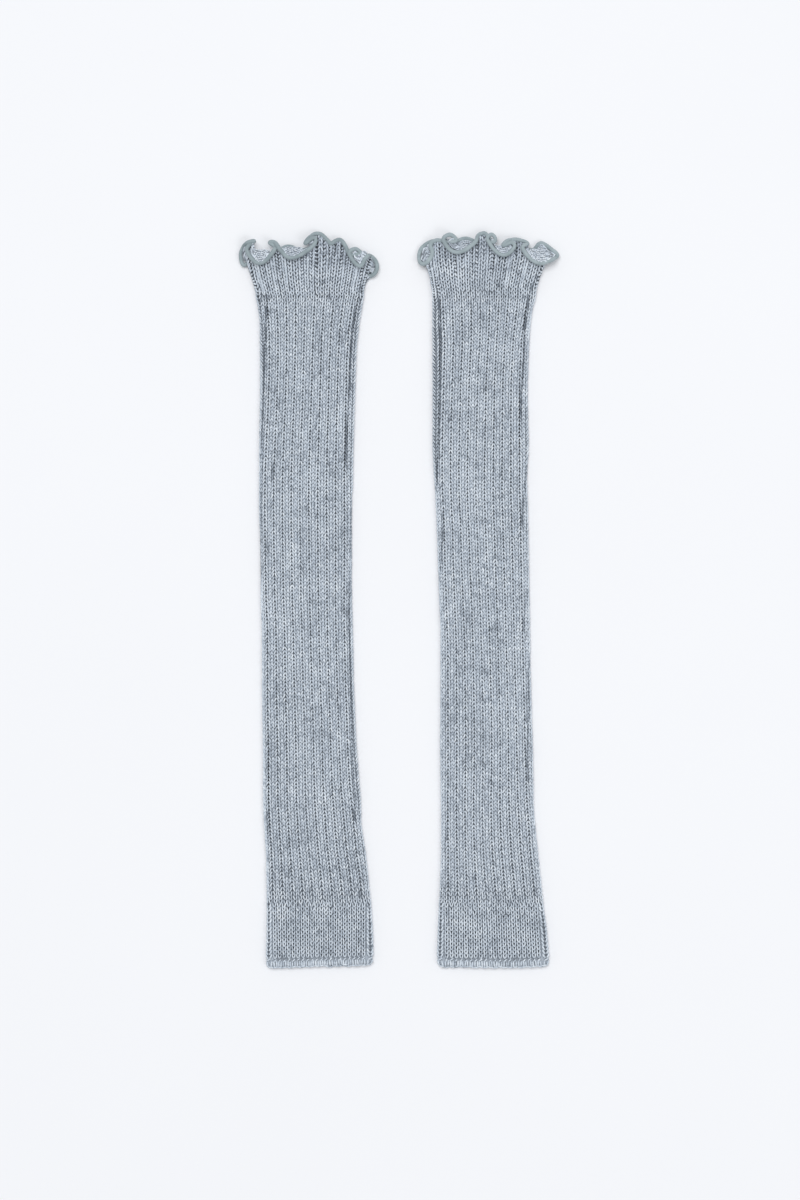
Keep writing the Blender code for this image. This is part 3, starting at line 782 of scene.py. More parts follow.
def leg_stitches(warmer, tube):
    """The knit stitches of a 2x2 rib: in each rib two columns of Vs, with the purl sunk between.

    Beside the seams they open into the single columns of the band and the cuff.
    """
    rng = np.random.default_rng(warmer.seed)
    ribs = np.arange(FRONT_RIBS + 2) - (FRONT_RIBS + 1) / 2
    grids = np.meshgrid(ribs, np.arange(LEG_ROWS) * 1.0, (-1.0, 1.0), (0, 1), indexing="ij")
    rib, row, side, leg = (g.reshape(-1, 1) for g in grids)
    inner = leg == 0
    n = len(rib)
    t = ALONG_STITCH[None, :]

    def of_leg(key):
        return np.where(inner, getattr(INNER_LEG, key), getattr(OUTER_LEG, key))

    from_end = LEG_ROWS - 1 - row
    paired = fade(row, OPEN_ROWS) * fade(from_end, OPEN_ROWS)
    loose = (1 - fade(row, OPEN_ROWS)) + (1 - fade(from_end, LOOSE_ROWS))
    open_apart = 0.25 + np.where(inner, -1.0, 1.0) * OPEN_STITCH
    foot = of_leg("foot") + uneven(rng, n, 0.010)
    head = of_leg("head") + uneven(rng, n, 0.010)
    pair_apart = foot * (1 - t) + head * t + of_leg("bow") * np.sin(math.pi * t)
    stray = np.repeat(rng.normal(0, 1, (n // 2, 2)), 2, axis=0)
    q = rib + side * (open_apart * (1 - paired) + pair_apart * paired)
    q = q + stray[:, :1] * STRAY_ACROSS * loose
    shift = uneven(rng, n, 0.045) + stray[:, 1:] * STRAY_ALONG * loose
    open_row = 0.30 - (REACH_ROWS + 0.15) * t
    pair_row = 0.12 - (REACH_ROWS + of_leg("reach")) * t
    r = row + open_row * (1 - paired) + pair_row * paired + shift
    pitch = (TOP_SEAM - CUFF_SEAM) / LEG_ROWS
    ends = fade(r + 1.5, 12.0) * fade(LEG_ROWS + 1 - r, 12.0)
    y = TOP_SEAM - (r + 0.5 + patches_over(rng, q, r, *SWAY) * ends) * pitch
    centre, normal = tube.at(q + patches_over(rng, q, r, *DRIFT) * ends, y)

    at_fold = np.clip((np.abs(q) - tube.EDGE) / 0.4, 0, 1)
    pair_height = leg_profile(q - rib, RIB_DEEP)
    pair_height = pair_height + (0.40 - 0.25 * at_fold) * np.sin(math.pi * t) ** 0.8
    pair_height = pair_height - PAIR_FOOT * (t == 0) - of_leg("tip") * (t == 1)
    height = OPEN_HEIGHT * (1 - paired) + pair_height * paired + uneven(rng, n, 0.05)
    creased = crease_depth(warmer, centre)
    middles = centre + normal * (height - CREASE_SINK * creased)[..., None]
    thick = 0.91 + uneven(rng, n, 0.06)
    pair_shape = of_leg("shape")
    wide = thick * (0.70 * OPEN_SHAPE * (1 - paired) + of_leg("wide") * pair_shape * paired)
    tall = thick * (OPEN_TALL * OPEN_SHAPE * (1 - paired) + PAIR_TALL * pair_shape * paired)
    places = (rib + side * 0.3)[:, 0]
    tone = Heather(warmer).at(rng, places, centre[:, 2, 1], LEG_STRAY_TONE)
    # Painted shade: the stitches darker in the creases.
    tone = tone - CREASE_PAINTED_SHADE * creased[:, 2]
    pieces = []
    upper = row[:, 0] < LEG_ROWS // 2
    for word, chosen in (("upper", upper), ("lower", ~upper)):
        made = (array[chosen] for array in (middles, normal, wide, tall, tone))
        pieces.append(spindles(f"{warmer.side}_leg_stitches_{word}", *made))
    return pieces


def single_rib_stitches(warmer, name, surface, rows, wales, to_row, seed, up):
    """The knit stitches of a 1x1 rib: single columns of Vs, with a sunk purl between.

    up is 1 where the rows run towards the ruffle, which stretches them, and -1 towards the hem.
    """
    nudge, usual_pitch, front = 0.05, 8.8, TOP_Z - 1.5
    rng = np.random.default_rng(warmer.seed + seed)
    grids = np.meshgrid(wales, np.arange(rows) * 1.0, (-1.0, 1.0), indexing="ij")
    wale, row, side = (g.reshape(-1, 1) for g in grids)
    n = len(wale)
    t = ALONG_STITCH[None, :]
    loose = 1 - fade(row, 5.0)
    stray = np.repeat(rng.normal(0, 1, (n // 2, 2)), 2, axis=0)
    towards_edge = fade(row - 5, 6.0) * (up > 0)
    apart = (OPEN_STITCH + uneven(rng, n, 0.008)) * (1 + 0.14 * towards_edge)
    q = wale + side * apart + stray[:, :1] * STRAY_ACROSS * loose
    shift = uneven(rng, n, 0.05) + stray[:, 1:] * STRAY_ALONG * loose
    r = row - up * 0.30 + up * (REACH_ROWS + 0.15) * t + shift
    along = to_row(r)
    centre, normal = surface(q, along)
    beside, _ = surface(q[:, 1:3] + nudge, along[:, 1:3])
    pitch = np.linalg.norm(beside - centre[:, 1:3], axis=-1).mean(axis=1, keepdims=True) / nudge
    spread = np.clip(pitch / usual_pitch, 0.8, 1.3)
    creased = crease_depth(warmer, centre) * (centre[..., 2] > front)
    height = OPEN_HEIGHT + uneven(rng, n, 0.05) - BAND_CREASE_SINK * creased
    thick = 0.97 + uneven(rng, n, 0.05)
    tone = Heather(warmer).at(rng, wale[:, 0], centre[:, 2, 1], STRAY_TONE)
    # Painted shade: the rows darker towards the ruffle's roll, which shades them, and the stitches darker
    # in the creases.
    tone = tone - 0.10 * towards_edge[:, 0] - BAND_CREASE_PAINTED_SHADE * creased[:, 2]
    wide, tall = 0.74 * thick * OPEN_SHAPE * spread, OPEN_TALL * thick * OPEN_SHAPE
    return spindles(name, centre + normal * height[..., None], normal, wide, tall, tone)


def purl_arcs(warmer, name, surface):
    """The purl side's bumps: short arcs across the columns, one row nested in the next."""
    rng = np.random.default_rng(warmer.seed + INSIDE_SEED)
    step = 0.5
    wales = np.arange(8 * RIBS_ROUND) / 8
    rows = np.arange(BAND_ROWS - 5.5, BAND_ROWS - 0.3, step)
    grids = np.meshgrid(wales, rows, indexing="ij")
    wale, row = (g.reshape(-1, 1) for g in grids)
    n = len(wale)
    odd = np.round((row - rows[0]) / step) % 2 > 0.5
    wale = wale + np.where(odd, 0.0, 0.0625) + uneven(rng, n, 0.01)
    row = row + uneven(rng, n, 0.06)
    half = 0.062 + uneven(rng, n, 0.006)
    t = np.linspace(0, 1, STITCH_RINGS + 2)[None, :]
    bow = np.sin(math.pi * t)
    centre, normal = surface(wale + half * (2 * t - 1), row + 0.28 * bow)
    height = 0.45 * bow - 0.25 + uneven(rng, n, 0.05)
    thick = 1.0 + uneven(rng, n, 0.07)
    tone = Heather(warmer).at(rng, wale[:, 0], centre[:, 2, 1], STRAY_TONE) + 0.11
    wide, tall = thick * ARC_SHAPE, 0.66 * thick * ARC_SHAPE
    return spindles(name, centre + normal * height[..., None], normal, wide, tall, tone)


# ---------------------------------------------------------------- the cloth under the stitches


def ground_shade(q, paired, groove):
    """The painted shade of the cloth between the stitches: dark in the ribs' middles, lighter between."""
    least, more, fold_light = 0.2, 0.32, 0.4
    single = groove * np.cos(TAU * q) ** 2
    double = least + more * np.cos(math.pi * q) ** 2
    past_fold = np.abs(np.abs(q - QUARTER) - QUARTER - 0.35)
    return np.maximum(single * (1 - paired) + double * paired, fold_light * fade(0.7 - past_fold, 0.3))


def closed_wall(name, outer, inner, knit_uv, shade, shown=0.0, shown_inside=0.0):
    """A tube with a wall, open at both ends, from two grids of rows of rings.

    shown is 1 where no stitches cover the outer face, and shown_inside the same for the inner one.
    """
    rows, columns = outer.shape[:2]
    points = np.concatenate((outer.reshape(-1, 3), inner.reshape(-1, 3)))
    index = np.arange(rows * columns).reshape(rows, columns)
    after = np.roll(index, -1, axis=1)
    skin = np.stack((index[:-1], after[:-1], after[1:], index[1:]), axis=-1).reshape(-1, 4)
    inner_start = rows * columns
    ends = []
    for row, turned in ((0, False), (rows - 1, True)):
        ring = (index[row], index[row] + inner_start, after[row] + inner_start, after[row])
        ends.append(np.stack(ring[::-1] if turned else ring, axis=-1))
    quads = np.concatenate((skin, skin[:, ::-1] + inner_start, *ends))
    u, v = knit_uv
    step = u[0, 1] - u[0, 0]
    corner_u = np.stack((u[:-1], u[:-1] + step, u[1:] + step, u[1:]), axis=-1)
    corner_v = np.stack((v[:-1], v[:-1], v[1:], v[1:]), axis=-1)
    skin_uv = np.stack((corner_u, corner_v), axis=-1).reshape(-1, 4, 2)
    end_uv = np.zeros((2 * columns, 4, 2))
    uv = np.concatenate((skin_uv, skin_uv[:, ::-1], end_uv)).reshape(-1, 2)
    faces = (np.broadcast_to(face, (rows, columns)).ravel() for face in (shown, shown_inside))
    values = {"tone": np.concatenate(list(faces)), "shade": np.tile(shade.ravel(), 2)}
    return make_mesh(name, points, quads, GROUND_AND_PAINTED_SHADE, values, uvs={"knit": uv})


def tube_cloth(name, surface, levels, pitch, profile, shade):
    """A flattened tube's cloth: under the stitches in front, and flat on the floor at the back."""
    past_fold = 0.3
    q = np.arange(RIBS_ROUND * CLOTH_PER_RIB) / CLOTH_PER_RIB - QUARTER
    grid_y, grid_q = np.meshgrid(levels, q, indexing="ij")
    centre, normal = surface(grid_q, grid_y)
    front = np.abs(grid_q) <= QUARTER + past_fold
    sunk = np.where(front, profile(grid_q, grid_y), 0.0) - SHELL_DEPTH * front
    outer = centre + normal * sunk[..., None]
    outer[..., 2] = np.where(front, np.maximum(outer[..., 2], 0.0), LEAST_Z)
    slot = np.where(normal[..., 2] > 0, SLOT_HIGH, SLOT_LOW)
    side = np.abs(normal[..., 0])
    inner = centre.copy()
    inner[..., 0] -= SLOT_INSET * normal[..., 0]
    inner[..., 2] = slot * (1 - side) + (SLOT_LOW + SLOT_HIGH) / 2 * side
    knit_uv = (grid_q * 2, grid_y / pitch)
    return closed_wall(name, outer, inner, knit_uv, shade(grid_q, grid_y), shown=~front * 1.0)


def leg_cloth(warmer, tube):
    past_seam = 0.5
    top, low = TOP_SEAM - SEAM_BLEND, CUFF_SEAM + SEAM_BLEND
    levels = np.concatenate(
        (
            np.linspace(TOP_SEAM + past_seam, top, 6)[:-1],
            np.linspace(top, low, 56),
            np.linspace(low, CUFF_SEAM - past_seam, 6)[1:],
        )
    )
    pitch = (TOP_SEAM - CUFF_SEAM) / LEG_ROWS

    def profile(q, y):
        offset = (q + RIBS_ROUND) % 1.0 - 0.5
        hole = 0.3 * np.clip(1 - np.abs(offset) / 0.15, 0, 1)
        ribbed = fade(TOP_SEAM - y, SEAM_BLEND) * fade(y - CUFF_SEAM, SEAM_BLEND)
        creased = crease_depth(warmer, tube.at(q, y)[0])
        return (leg_profile(offset, 0.6) - hole) * ribbed - CLOTH_CREASE_SINK * creased

    # The cloth's painted shade: lighter by the seams and darker in the creases.
    def shade(q, y):
        opening = OPEN_ROWS * pitch
        paired = fade(TOP_SEAM - y, opening) * fade(y - CUFF_SEAM, opening)
        at_seam = near(TOP_SEAM - y, SEAM_REACH) + near(y - CUFF_SEAM, SEAM_REACH)
        creased = crease_depth(warmer, tube.at(q, y)[0])
        return ground_shade(q, paired, 0.55) + SEAM_SHADE * at_seam - CLOTH_CREASE_SHADE * creased

    return tube_cloth(f"{warmer.side}_leg_cloth", tube.at, levels, pitch, profile, shade)


# ---------------------------------------------------------------- the cuff


class Cuff:
    """The cuff's tube, with its lower end let down in places and rounded towards the floor."""

    def __init__(self, warmer):
        ends = warmer.cuff[-2], warmer.cuff[0]
        rows = ((s.along, s.left + CUFF_VALLEY, s.right - CUFF_VALLEY) for s in ends)
        self.tube = Tube(warmer, warmer.cuff, columns_of(rows))
        self.hem = warmer.hem
        self.low = warmer.cuff[-1].along
        self.pitch = (CUFF_SEAM - self.low) / CUFF_ROWS

    def at(self, q, along):
        flat_q = np.where(q > QUARTER, 2 * QUARTER - q, q)
        across = np.clip(flat_q / QUARTER, -1, 1)
        share = np.clip((CUFF_SEAM - along) / (CUFF_SEAM - self.low), 0, 1)
        drop = share * (self.hem.sag * (1 - across**2) - self.hem.tilt * across)
        drop = drop + HEM_SCALLOP * share**8 * np.cos(TAU * q)
        centre, normal = self.tube.at(q, np.maximum(along, self.low))
        centre[..., 1] = along - drop
        turned = np.clip((self.low + HEM_ROUND - along) / HEM_ROUND, 0, 1) ** HEM_TURN
        height = HEM_LOW + (1 - HEM_LOW) * np.sqrt(1 - turned**2)
        centre[..., 2] = UNDER_Z + (centre[..., 2] - UNDER_Z) * height
        normal = normal * (1 - HEM_LEAN * turned)[..., None]
        normal[..., 1] -= turned
        return centre, unit(normal)

    def along(self, row):
        return CUFF_SEAM - (row + 0.5) * self.pitch


def cuff_cloth(warmer, cuff):
    rim, end, dark_end = cuff.low + 5.0, cuff.low + 0.6, cuff.low + 9.5
    groove_sink, groove_reach = 0.25, 8.0
    fold_light, hem_light = 0.35, 0.65
    levels = np.concatenate((np.linspace(CUFF_SEAM, rim, 18), np.linspace(rim, end, 7)[1:]))

    def profile(q, y):
        return -groove_sink * np.cos(TAU * q) ** 2 * fade(CUFF_SEAM - y, groove_reach)

    # The cloth's painted shade: lighter by the seam, round the side fold and at the hem.
    def shade(q, y):
        at_fold = fade(0.9 - np.abs(np.abs(q) - QUARTER), 0.5)
        at_hem = fade(dark_end - y, 3.0)
        at_seam = near(CUFF_SEAM - y, SEAM_REACH)
        light = SEAM_SHADE * at_seam + fold_light * at_fold + hem_light * at_hem
        return ground_shade(q, 0.0, 0.4) + light

    return tube_cloth(f"{warmer.side}_cuff_cloth", cuff.at, levels, cuff.pitch, profile, shade)


# The hem's kinds of strands, each with where it starts and ends: across in ribs, and along from the
# lowest section. A slanted row on the front, the strands of the rim, and the chain along its edge.
HemKind = namedtuple("HemKind", "wales across along height wide tall paler")
HEM_KINDS = table(
    HemKind,
    (FRONT_WALES, (-0.17, 0.17), (5.4, 8.2), (-0.5, 0.35, 0.42, 0.3, -0.5), 0.80, 0.70, 0.0),
    (
        np.repeat(ALL_WALES, 2) + np.tile((-0.125, 0.125), len(ALL_WALES)),
        (0.0, 0.02), (6.9, 0.2), (-0.6, 0.25, 0.40, 0.35, 0.0), 0.94, 0.66, 0.02,
    ),
    (ALL_WALES, (-0.34, 0.34), (0.9, 0.7), (-0.3, 0.15, 0.25, 0.15, -0.3), 0.95, 0.80, 0.06),
)
HEM_SHAPE = np.array((0.85, 1.0, 0.85))


def hem_stitches(warmer, cuff):
    """The cuff's start edge: a slanted row, then a soft rim that turns under."""
    rng = np.random.default_rng(warmer.seed + HEM_SEED)
    t = ALONG_STITCH[None, :]
    parts = []
    for kind in HEM_KINDS:
        n = len(kind.wales)
        slant = uneven(rng, n, 0.03) * (2 * t - 1)
        q = kind.wales[:, None] + kind.across[0] * (1 - t) + kind.across[1] * t + slant
        q = q + uneven(rng, n, 0.015)
        along = cuff.low + kind.along[0] * (1 - t) + kind.along[1] * t + uneven(rng, n, 0.3)
        centre, normal = cuff.at(q, along)
        height = np.array(kind.height) + uneven(rng, n, 0.06)
        shape = HEM_SHAPE * (1 + uneven(rng, n, 0.06))
        tone = Heather(warmer).at(rng, kind.wales, centre[:, 2, 1], STRAY_TONE) + kind.paler
        middles = centre + normal * height[..., None]
        parts.append((middles, normal, kind.wide * shape, kind.tall * shape, tone))
    made = (np.concatenate(arrays) for arrays in zip(*parts))
    return spindles(f"{warmer.side}_cuff_edge_stitches", *made)


# ---------------------------------------------------------------- the ruffle


def edge_stations(warmer):
    """The places that the ruffle's edge runs through, three for each of its waves.

    Each is across from the leg's axis, up from the seam, height, how far turned over, and how far up
    the band folds where it is turned over.
    """
    stations = []
    for wave in warmer.waves:
        for px, py in (wave.into, wave.turn, wave.out):
            nearer = 1 - wave.lift / SEEN_FROM
            across = (warmer.axis + (px - warmer.axis_px) * PX) * nearer - warmer.axis
            along = (IMAGE_MIDDLE_ROW - py) * PX * nearer - TOP_SEAM
            ridge = (COLUMN_LENGTH + (SEAM_ROW - wave.turn[1]) * PX) / 2 - RIDGE_DROP
            stations.append((across, along, wave.lift, wave.over, ridge))
    return np.array(stations, dtype=float)


def shares_round(warmer, line):
    """How far round the band each place of its edge belongs: 0 to 1 in front, and to 2 at the back."""
    last = [wave.name for wave in warmer.waves].index("right side")
    turn = (3 * last + 3) * CURVE_STEPS
    way = np.roll(line, -1, axis=0) - line
    along, *sides = measured(warmer, warmer.flare, SEAM_ROW)
    edges = [np.interp((SEAM_ROW - EDGE_ROW) * PX, along, side) for side in sides]
    across = np.clip(line[:, 0], *edges)
    front, back = across[: turn + 1], across[turn:]
    furthest = np.concatenate((np.maximum.accumulate(front), np.minimum.accumulate(back)))
    onward = np.abs(np.diff(np.delete(furthest, turn + 1), append=across[0]))
    onward = onward + SLACK * np.linalg.norm(way[:, :3], axis=1)
    run = np.concatenate(([0.0], np.cumsum(onward)))
    front = run[: turn + 1] / run[turn]
    back = 1 + (run[turn + 1 :] - run[turn]) / (run[-1] - run[turn])
    return np.concatenate((front, back))


def edge_line(warmer):
    """The roll's middle line, closed, with the columns of its stations, and its shares round."""
    stations = edge_stations(warmer)
    pulls = np.where(np.arange(len(stations)) % 3 == 1, TURN_PULL, FLANK_PULL)[:, None]
    slopes = pulls * (np.roll(stations, -1, axis=0) - np.roll(stations, 1, axis=0))
    t = (np.arange(CURVE_STEPS) / CURVE_STEPS)[None, :, None]
    starts = stations[:, None], slopes[:, None]
    ends = (np.roll(part, -1, axis=0)[:, None] for part in (stations, slopes))
    line = np.roll(hermite(t, *starts, *ends).reshape(-1, 5), CURVE_STEPS // 2, axis=0)
    return np.vstack((line, line[:1])), shares_round(warmer, line)


def roll_middles(line):
    """The roll's middles, which rise a little where the band turns over."""
    over = np.clip(line[:, 3], 0, 1)
    middles = line[:, :3].copy()
    middles[:, 2] += HORN_RISE * 4 * over * (1 - over)
    return middles


def squared_circle(root):
    """Once round the flattened tube: across and up, both from -1 to 1, with square corners."""
    across = np.where(root <= 1, 2 * root - 1, 3 - 2 * root)
    side = np.where(root <= 1, 1.0, -1.0)
    up = np.maximum(0.0, 1 - np.abs(across) ** SIDE_SQUARENESS) ** (1 / SIDE_SQUARENESS)
    return across, side * up


# A column's knots: the share of the rise that its place on the tube is taken from and the one that it
# lies at, how far it lies above that and outwards, in rounds of the fold, and how far it has moved
# over and up to its place on the roll. A straight column moves as RISE and MOVED say.
Knot = namedtuple("Knot", "share level climb out moved lifted")
RISE = (0.0, 0.2, 0.4, 0.62, 0.8, 0.92, 1.0)
MOVED = (0.0, 0.0, 0.0, 0.03, 0.16, 0.5, 1.0)
STRAIGHT_SHARES = np.linspace(0, 1, 8)[:-1]
STRAIGHT_MOVES = np.interp(STRAIGHT_SHARES, RISE, MOVED)
STRAIGHT_KNOTS = [Knot(s, s, 0, 0, m, m) for s, m in zip(STRAIGHT_SHARES, STRAIGHT_MOVES)]
FOLD_KNOTS = table(
    Knot,
    (0.0, 0.0, 0, 0, 0.0, 0), (0.25, 0.25, 0, 0, 0.0, 0), (0.5, 0.5, 0, 0, 0.0, 0),
    (0.78, 0.78, 0, 0, 0.06, 0), (0.94, 0.94, 0, 0, 0.2, 0), (1.0, 1.0, 1, 0.9, 0.4, 0),
    (0.9, 1.0, 0, 2.0, 0.72, 0),
)
FOLD_ROUND = 2.1
LEAST_FOLD = 2.0
FOLD_BLEND = 6.0


class Band:
    """The ruffled band's surface: root runs once round (0 to 2), row from the seam (0) to the roll.

    Its columns rise straight to the roll or, where the band is turned over, fold to the front at the
    top and come down again to the roll.
    """

    LEVELS = 61
    COLUMNS = 2 * RIBS_ROUND * 8
    STEPS_BETWEEN_KNOTS = 12

    def __init__(self, warmer, tube):
        line, roots = edge_line(warmer)
        travel = np.gradient(line[:, :3], axis=0)
        root = np.arange(self.COLUMNS) / self.COLUMNS * 2
        here = np.stack([np.interp(root, roots, column) for column in line.T], axis=-1)
        over, ridge = np.clip(here[:, 3], 0, 1), here[:, 4]
        way = unit(np.stack([np.interp(root, roots, column) for column in travel.T], axis=-1))
        self.side_along, *self.sides = measured(warmer, warmer.flare, SEAM_ROW)
        edge = roll_middles(here) + self.inward(way, over, root) * ROLL_RADIUS * 0.5
        shift = np.array((warmer.axis, TOP_SEAM, 0.0))
        q = root * 2 * QUARTER - QUARTER
        start = tube.at(q, np.full_like(q, TOP_SEAM - 0.01))[0] - shift
        top = np.maximum(ridge, edge[:, 1] + LEAST_FOLD)
        weight = (over * fade(ridge - edge[:, 1] + FOLD_BLEND / 4, FOLD_BLEND))[None, :, None]
        straight = self.columns(root, start, edge, edge[:, 1], STRAIGHT_KNOTS)
        folded = self.columns(root, start, edge, top - FOLD_ROUND, FOLD_KNOTS)
        grid = self.smooth_columns(straight * (1 - weight) + folded * weight) + shift
        around = np.roll(grid, -1, axis=1) - np.roll(grid, 1, axis=1)
        self.grid = grid
        self.normals = unit(np.cross(around, np.gradient(grid, axis=0)))

    def station(self, root, along, share, start):
        """A place on the flattened, slightly flared tube that the band starts as."""
        across, up = squared_circle(root)
        left = np.interp(along, self.side_along, self.sides[0]) + YARN
        right = np.interp(along, self.side_along, self.sides[1]) - YARN
        front = BAND_MIDDLE_FRONT + share
        x = (left + right) / 2 + (right - left) / 2 * across
        z = (front + BAND_MIDDLE_BACK) / 2 + (front - BAND_MIDDLE_BACK) / 2 * up
        settle = 1 - fade(share, SETTLE)
        return np.stack((x, along, z), axis=-1) * (1 - settle) + start * settle

    def columns(self, root, start, edge, rise, knots):
        """Columns from the seam through their knots to the roll."""
        points = []
        for knot in knots:
            place = self.station(root, knot.share * rise, knot.share, start)
            place[:, 1] = knot.level * rise + knot.climb * FOLD_ROUND
            place[:, 2] += knot.out * FOLD_ROUND
            points.append(place + (edge - place) * (knot.moved, 0.0, knot.lifted))
        return np.stack(points + [edge])

    @staticmethod
    def inward(way, over, root):
        """The direction from the roll's middle into the cloth."""
        right = unit(np.stack((way[:, 1], -way[:, 0], np.zeros(len(way))), axis=-1))
        turn = math.pi * over
        front = np.cos(turn)[:, None] * right
        front[:, 2] -= np.sin(turn)
        beside = np.maximum(0, 1 - np.minimum(root, 1 - root) / SIDE_BLEND)
        back = np.where(root >= 1, 1.0, beside)[:, None]
        inward = (1 - back) * front + back * np.array((0.0, -1.0, 0.0))
        inward -= way * np.sum(way * inward, axis=1, keepdims=True)
        return unit(inward)

    def smooth_columns(self, knots):
        """A smooth curve through each column's knots, with its rows at equal steps along it."""
        ahead = np.concatenate((knots[1:], knots[-1:]))
        behind = np.concatenate((knots[:1], knots[:-1]))
        slopes = (ahead - behind) / 2
        slopes[0] *= 2
        slopes[-1] *= 2
        t = np.linspace(0, 1, self.STEPS_BETWEEN_KNOTS + 1)[:-1, None, None]
        fine = [
            hermite(t, knots[k], slopes[k], knots[k + 1], slopes[k + 1])
            for k in range(len(knots) - 1)
        ]
        fine = np.concatenate(fine + [knots[-1:]])
        steps = np.linalg.norm(np.diff(fine, axis=0), axis=2)
        run = np.concatenate((np.zeros((1, steps.shape[1])), np.cumsum(steps, axis=0)))
        run /= run[-1]
        want = np.linspace(0, 1, self.LEVELS)
        grid = np.empty((self.LEVELS, fine.shape[1], 3))
        for column in range(fine.shape[1]):
            for axis in range(3):
                grid[:, column, axis] = np.interp(want, run[:, column], fine[:, column, axis])
        return grid

    def at(self, q, row):
        """q counts ribs from the front's middle line, row stitches from the seam."""
        root = ((q + QUARTER) / (2 * QUARTER)) % 2
        gx = root / 2 * self.COLUMNS
        gy = np.clip(row / BAND_ROWS, 0, 1) * (self.LEVELS - 1)
        ix, iy = gx.astype(int), np.minimum(gy.astype(int), self.LEVELS - 2)
        tx, ty = (gx - ix)[..., None], (gy - iy)[..., None]
        ix, jx = ix % self.COLUMNS, (ix + 1) % self.COLUMNS
        point, normal = (
            between(field.swapaxes(0, 1), ix, jx, tx, iy, iy + 1, ty)
            for field in (self.grid, self.normals)
        )
        return point, unit(normal)

    @staticmethod
    def along(row):
        return row + BAND_ROW_MIDDLE

    def inside(self, q, row):
        """The band's inner face, for the bumps of its purl side."""
        point, normal = self.at(q, row)
        return point - normal * BAND_INSIDE, -normal


def band_cloth(warmer, band):
    columns = np.arange(0, Band.COLUMNS, 2)
    rows = np.arange(0, Band.LEVELS, 2)
    grid, normal = (field[np.ix_(rows, columns)] for field in (band.grid, band.normals))
    level = np.linspace(0, 1, len(rows))[:, None]
    at_seam = (1 - fade(level, SETTLE))[..., None]
    faces = []
    for depth, more in (BAND_OUTER, BAND_INNER):
        face = grid - normal * (depth + more * at_seam)
        face[..., 2] = np.maximum(face[..., 2], LEAST_Z)
        faces.append(face)
    q = np.broadcast_to(columns / Band.COLUMNS * RIBS_ROUND - QUARTER, grid.shape[:2])
    row = np.broadcast_to(level * BAND_ROWS, grid.shape[:2])
    # The cloth's painted shade, lighter by the seam.
    shade = ground_shade(q, 0.0, 0.25) + SEAM_SHADE * near(level * COLUMN_LENGTH, SEAM_REACH)
    name = f"{warmer.side}_band_cloth"
    return closed_wall(name, *faces, (2 * q, row), shade, shown_inside=INSIDE_SHOWN)


def carried_frames(middles):
    """Two directions across a closed curve at each of its points, carried along without twist."""
    count = len(middles)
    travel = unit(np.roll(middles, -1, axis=0) - np.roll(middles, 1, axis=0))
    first = np.cross(travel[0], (0.0, 0.0, 1.0))
    firsts = []
    for k in range(count + 1):
        way = travel[k % count]
        first = first - way * np.dot(way, first)
        first = first / np.linalg.norm(first)
        firsts.append(first)
    second = np.cross(travel[0], firsts[0])
    slip = math.atan2(np.dot(firsts[-1], second), np.dot(firsts[-1], firsts[0]))
    firsts = np.array(firsts[:-1])
    seconds = np.cross(travel, firsts)
    angle = -slip * np.arange(count) / count
    cos, sin = np.cos(angle)[:, None], np.sin(angle)[:, None]
    return firsts * cos + seconds * sin, seconds * cos - firsts * sin


def edge_roll(warmer):
    """The overlocked roll: close turns of thread round the ruffle's edge."""
    line, _ = edge_line(warmer)
    closed = roll_middles(line) + (warmer.axis, TOP_SEAM, 0.0)
    run = np.concatenate(([0.0], np.cumsum(np.linalg.norm(np.diff(closed, axis=0), axis=1))))
    turns = round(run[-1] / ROLL_WRAP)
    count = int(run[-1] / ROLL_STEP)
    want = np.arange(count) / count * run[-1]
    middles = np.stack([np.interp(want, run, column) for column in closed.T], axis=-1)
    kernel = np.hanning(2 * ROLL_SMOOTHING + 1)
    kernel /= kernel.sum()
    middles = sum(w * np.roll(middles, k - ROLL_SMOOTHING, axis=0) for k, w in enumerate(kernel))
    first, second = carried_frames(middles)
    angle = TAU * np.arange(ROLL_SIDES) / ROLL_SIDES
    phase = TAU * turns * np.arange(count)[:, None] / count + angle[None, :]
    rng = np.random.default_rng(warmer.seed + ROLL_SEED)
    swell = 1 + smooth_noise(rng, want, *ROLL_SWELLS)[:, None]
    radius = ROLL_RADIUS * swell * (1 + ROLL_GROOVE * np.cos(phase))
    points = (
        middles[:, None, :]
        + (radius * np.cos(angle)[None])[..., None] * first[:, None, :]
        + (radius * np.sin(angle)[None])[..., None] * second[:, None, :]
    )
    points[..., 2] = np.maximum(points[..., 2], 0.0)
    index = np.arange(count * ROLL_SIDES).reshape(count, ROLL_SIDES)
    beside = np.roll(index, -1, axis=1)
    corners = (index, beside, np.roll(beside, -1, axis=0), np.roll(index, -1, axis=0))
    quads = np.stack(corners, axis=-1).reshape(-1, 4)
    clouds = np.repeat(smooth_noise(rng, want, *ROLL_CLOUDS), ROLL_SIDES)
    # Painted shade in the grooves between the thread's turns, and clouds of tone.
    tone = warmer.roll_tone + ROLL_GROOVE_PAINTED_SHADE * np.cos(phase).ravel() + clouds
    name = f"{warmer.side}_ruffle_roll"
    return make_mesh(name, points.reshape(-1, 3), quads, THREAD, {"tone": tone})


# ---------------------------------------------------------------- one leg warmer


